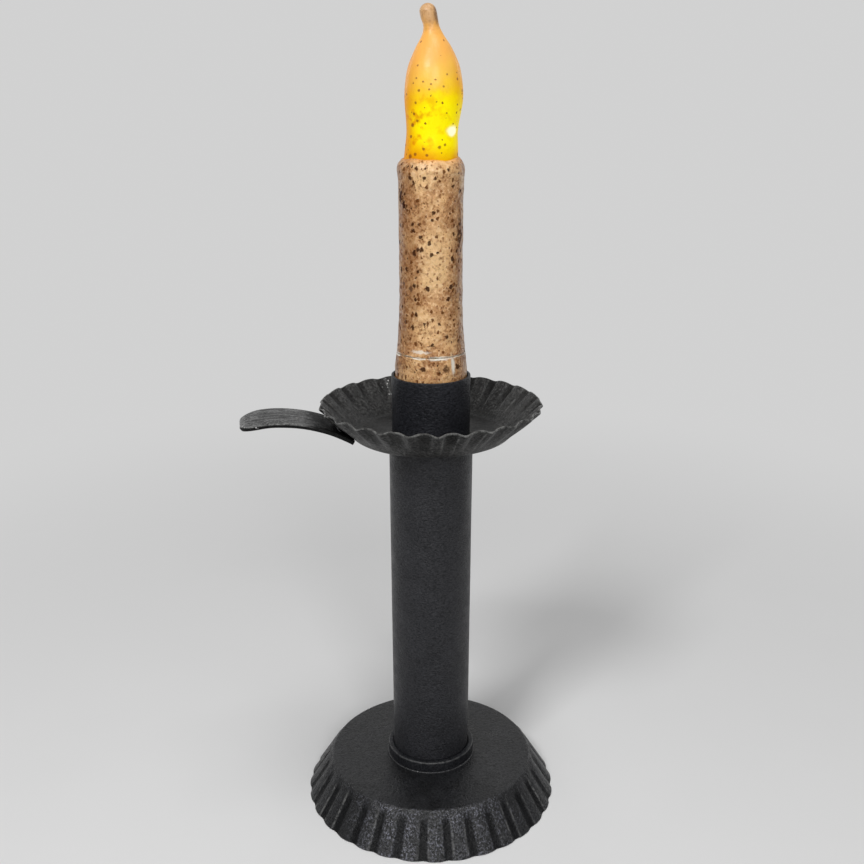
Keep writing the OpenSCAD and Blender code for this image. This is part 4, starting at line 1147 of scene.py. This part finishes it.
def dress_nodes():
    """Materials of the CAD nodes that are shown as they are."""
    ivory = plastic("ivory_plastic", (0.5, 0.42, 0.29), (0.62, 0.54, 0.4), 0.5)
    dark = plastic("dark_plastic", (0.012, 0.012, 0.014), (0.03, 0.03, 0.032), 0.45)
    bright = brushed("bright_metal", (0.42, 0.43, 0.44), (0.66, 0.67, 0.68), 0.3)
    brass = brushed("brass", (0.45, 0.29, 0.1), (0.68, 0.47, 0.18), 0.3)
    finishes = {
        "socket_stop": SOCKET,
        "battery_base": ivory,
        "bottom_cap": ivory,
        "cell_tray": ivory,
        "candle_tube": ivory,
        "switch_knob": dark,
        "timer_chip": dark,
        "resistors": dark,
        "circuit_board": circuit_board("board_green"),
        "contact_strip": brass,
        "lamp": lens("lens"),
    }
    for node in (
        "switch_housing", "crystal", "board_screws", "base_spring", "lower_cell_can",
        "lower_cell_cap", "upper_cell_can", "upper_cell_cap", "top_contact", "lamp_legs",
    ):
        finishes[node] = bright
    for cell in ("lower", "upper"):
        foot, top = (corner.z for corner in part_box(cell + "_cell_can"))
        finishes[cell + "_cell_sleeve"] = cell_label(cell + "_cell_label", foot, top - foot)
    for node, material in finishes.items():
        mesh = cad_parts[node].data
        mesh.materials.clear()
        mesh.materials.append(material)


# Pale grey of the floor and of what lies beyond it
BACKDROP = (0.64, 0.64, 0.64)


def seen(s):
    """1 for rays that show the background: from the camera, off a gloss or through glass."""
    path = s.add("LightPath").outputs
    straight = s.math("MAXIMUM", path["Is Camera Ray"], path["Is Glossy Ray"])
    return s.math("MAXIMUM", straight, path["Is Transmission Ray"])


def make_stage():
    """A pale floor that fades into the pale world."""
    bpy.ops.mesh.primitive_circle_add(vertices=96, radius=6, fill_type="NGON", location=(0, 0, 0))
    floor = bpy.context.object
    floor.name = "floor"
    s = Shader("pale_floor")
    tone = s.blend(s.noise(0.05, 2.0), (0.74, 0.74, 0.74), (0.76, 0.76, 0.76))
    lit = s.add("BsdfDiffuse", {"Color": tone}).outputs[0]
    far = s.add("Emission", {"Color": (*BACKDROP, 1), "Strength": 1.0}).outputs[0]
    distance = s.vector("LENGTH", s.at, out="Value")
    beyond = s.math("MULTIPLY", s.fade(distance, 0.08, 0.5), seen(s))
    both = s.add("MixShader", {0: beyond, 1: lit, 2: far}).outputs[0]
    output = s.add("OutputMaterial")
    s.tree.links.new(both, output.inputs[0])
    floor.data.materials.append(s.material)

    world = bpy.data.worlds.new("studio")
    bpy.context.scene.world = world
    world.use_nodes = True
    tree = world.node_tree
    tree.nodes.clear()
    path = tree.nodes.new("ShaderNodeLightPath")
    camera_or_gloss = tree.nodes.new("ShaderNodeMath")
    camera_or_gloss.operation = "MAXIMUM"
    tree.links.new(path.outputs["Is Camera Ray"], camera_or_gloss.inputs[0])
    tree.links.new(path.outputs["Is Glossy Ray"], camera_or_gloss.inputs[1])
    shown = tree.nodes.new("ShaderNodeMath")
    shown.operation = "MAXIMUM"
    tree.links.new(camera_or_gloss.outputs[0], shown.inputs[0])
    tree.links.new(path.outputs["Is Transmission Ray"], shown.inputs[1])
    ambient = tree.nodes.new("ShaderNodeBackground")
    ambient.inputs["Color"].default_value = (1, 1, 1, 1)
    ambient.inputs["Strength"].default_value = 0.1
    backdrop = tree.nodes.new("ShaderNodeBackground")
    backdrop.inputs["Color"].default_value = (*BACKDROP, 1)
    backdrop.inputs["Strength"].default_value = 1.0
    both = tree.nodes.new("ShaderNodeMixShader")
    tree.links.new(shown.outputs[0], both.inputs[0])
    tree.links.new(ambient.outputs[0], both.inputs[1])
    tree.links.new(backdrop.outputs[0], both.inputs[2])
    output = tree.nodes.new("ShaderNodeOutputWorld")
    tree.links.new(both.outputs[0], output.inputs[0])


def area_light(name, place, target, width, height, power):
    """A soft box that faces its target."""
    data = bpy.data.lights.new(name, "AREA")
    data.shape = "RECTANGLE"
    data.size, data.size_y = width, height
    data.energy = power
    light = bpy.data.objects.new(name, data)
    bpy.context.scene.collection.objects.link(light)
    light.location = place
    light.rotation_euler = (Vector(target) - Vector(place)).to_track_quat("-Z", "Y").to_euler()
    return light


def make_lights():
    middle = (0, 0, 0.12)
    area_light("key", around(-30, 0.80, 0.92), middle, 0.26, 0.26, 6.6)
    area_light("fill", around(10, 0.90, 0.62), middle, 0.3, 0.3, 3.6)
    area_light("top", around(20, 0.20, 1.10), middle, 0.4, 0.4, 3.2)
    area_light("left_strip", around(-140, 0.62, 0.22), middle, 0.05, 0.45, 0.3)
    area_light("right_strip", around(140, 0.62, 0.22), middle, 0.05, 0.45, 0.3)


def make_camera():
    """The photograph's camera: distance, height, tilt and shift solved from its outline."""
    data = bpy.data.cameras.new("camera")
    data.sensor_width = 36
    data.lens = 41.83
    data.shift_x = 0.0013
    data.shift_y = 0.1338
    camera = bpy.data.objects.new("camera", data)
    bpy.context.scene.collection.objects.link(camera)
    camera.location = around(0, 0.298855, 0.225655)
    camera.rotation_euler = (math.radians(90 - 24.023), 0, math.radians(photo_azimuth + 90))
    bpy.context.scene.camera = camera


make_camera()
make_stage()
make_lights()
make_pans()
make_tubes()
bead("foot_bead", "foot_solder", collar_r, base_h, True, foot_bead_leg)
bead("pan_bead", "pan_solder", column_r, pan_z, False, pan_bead_leg)
make_strap()
make_weld()
make_wax()
make_flame()
dress_nodes()
bpy.context.scene.view_settings.view_transform = "Standard"
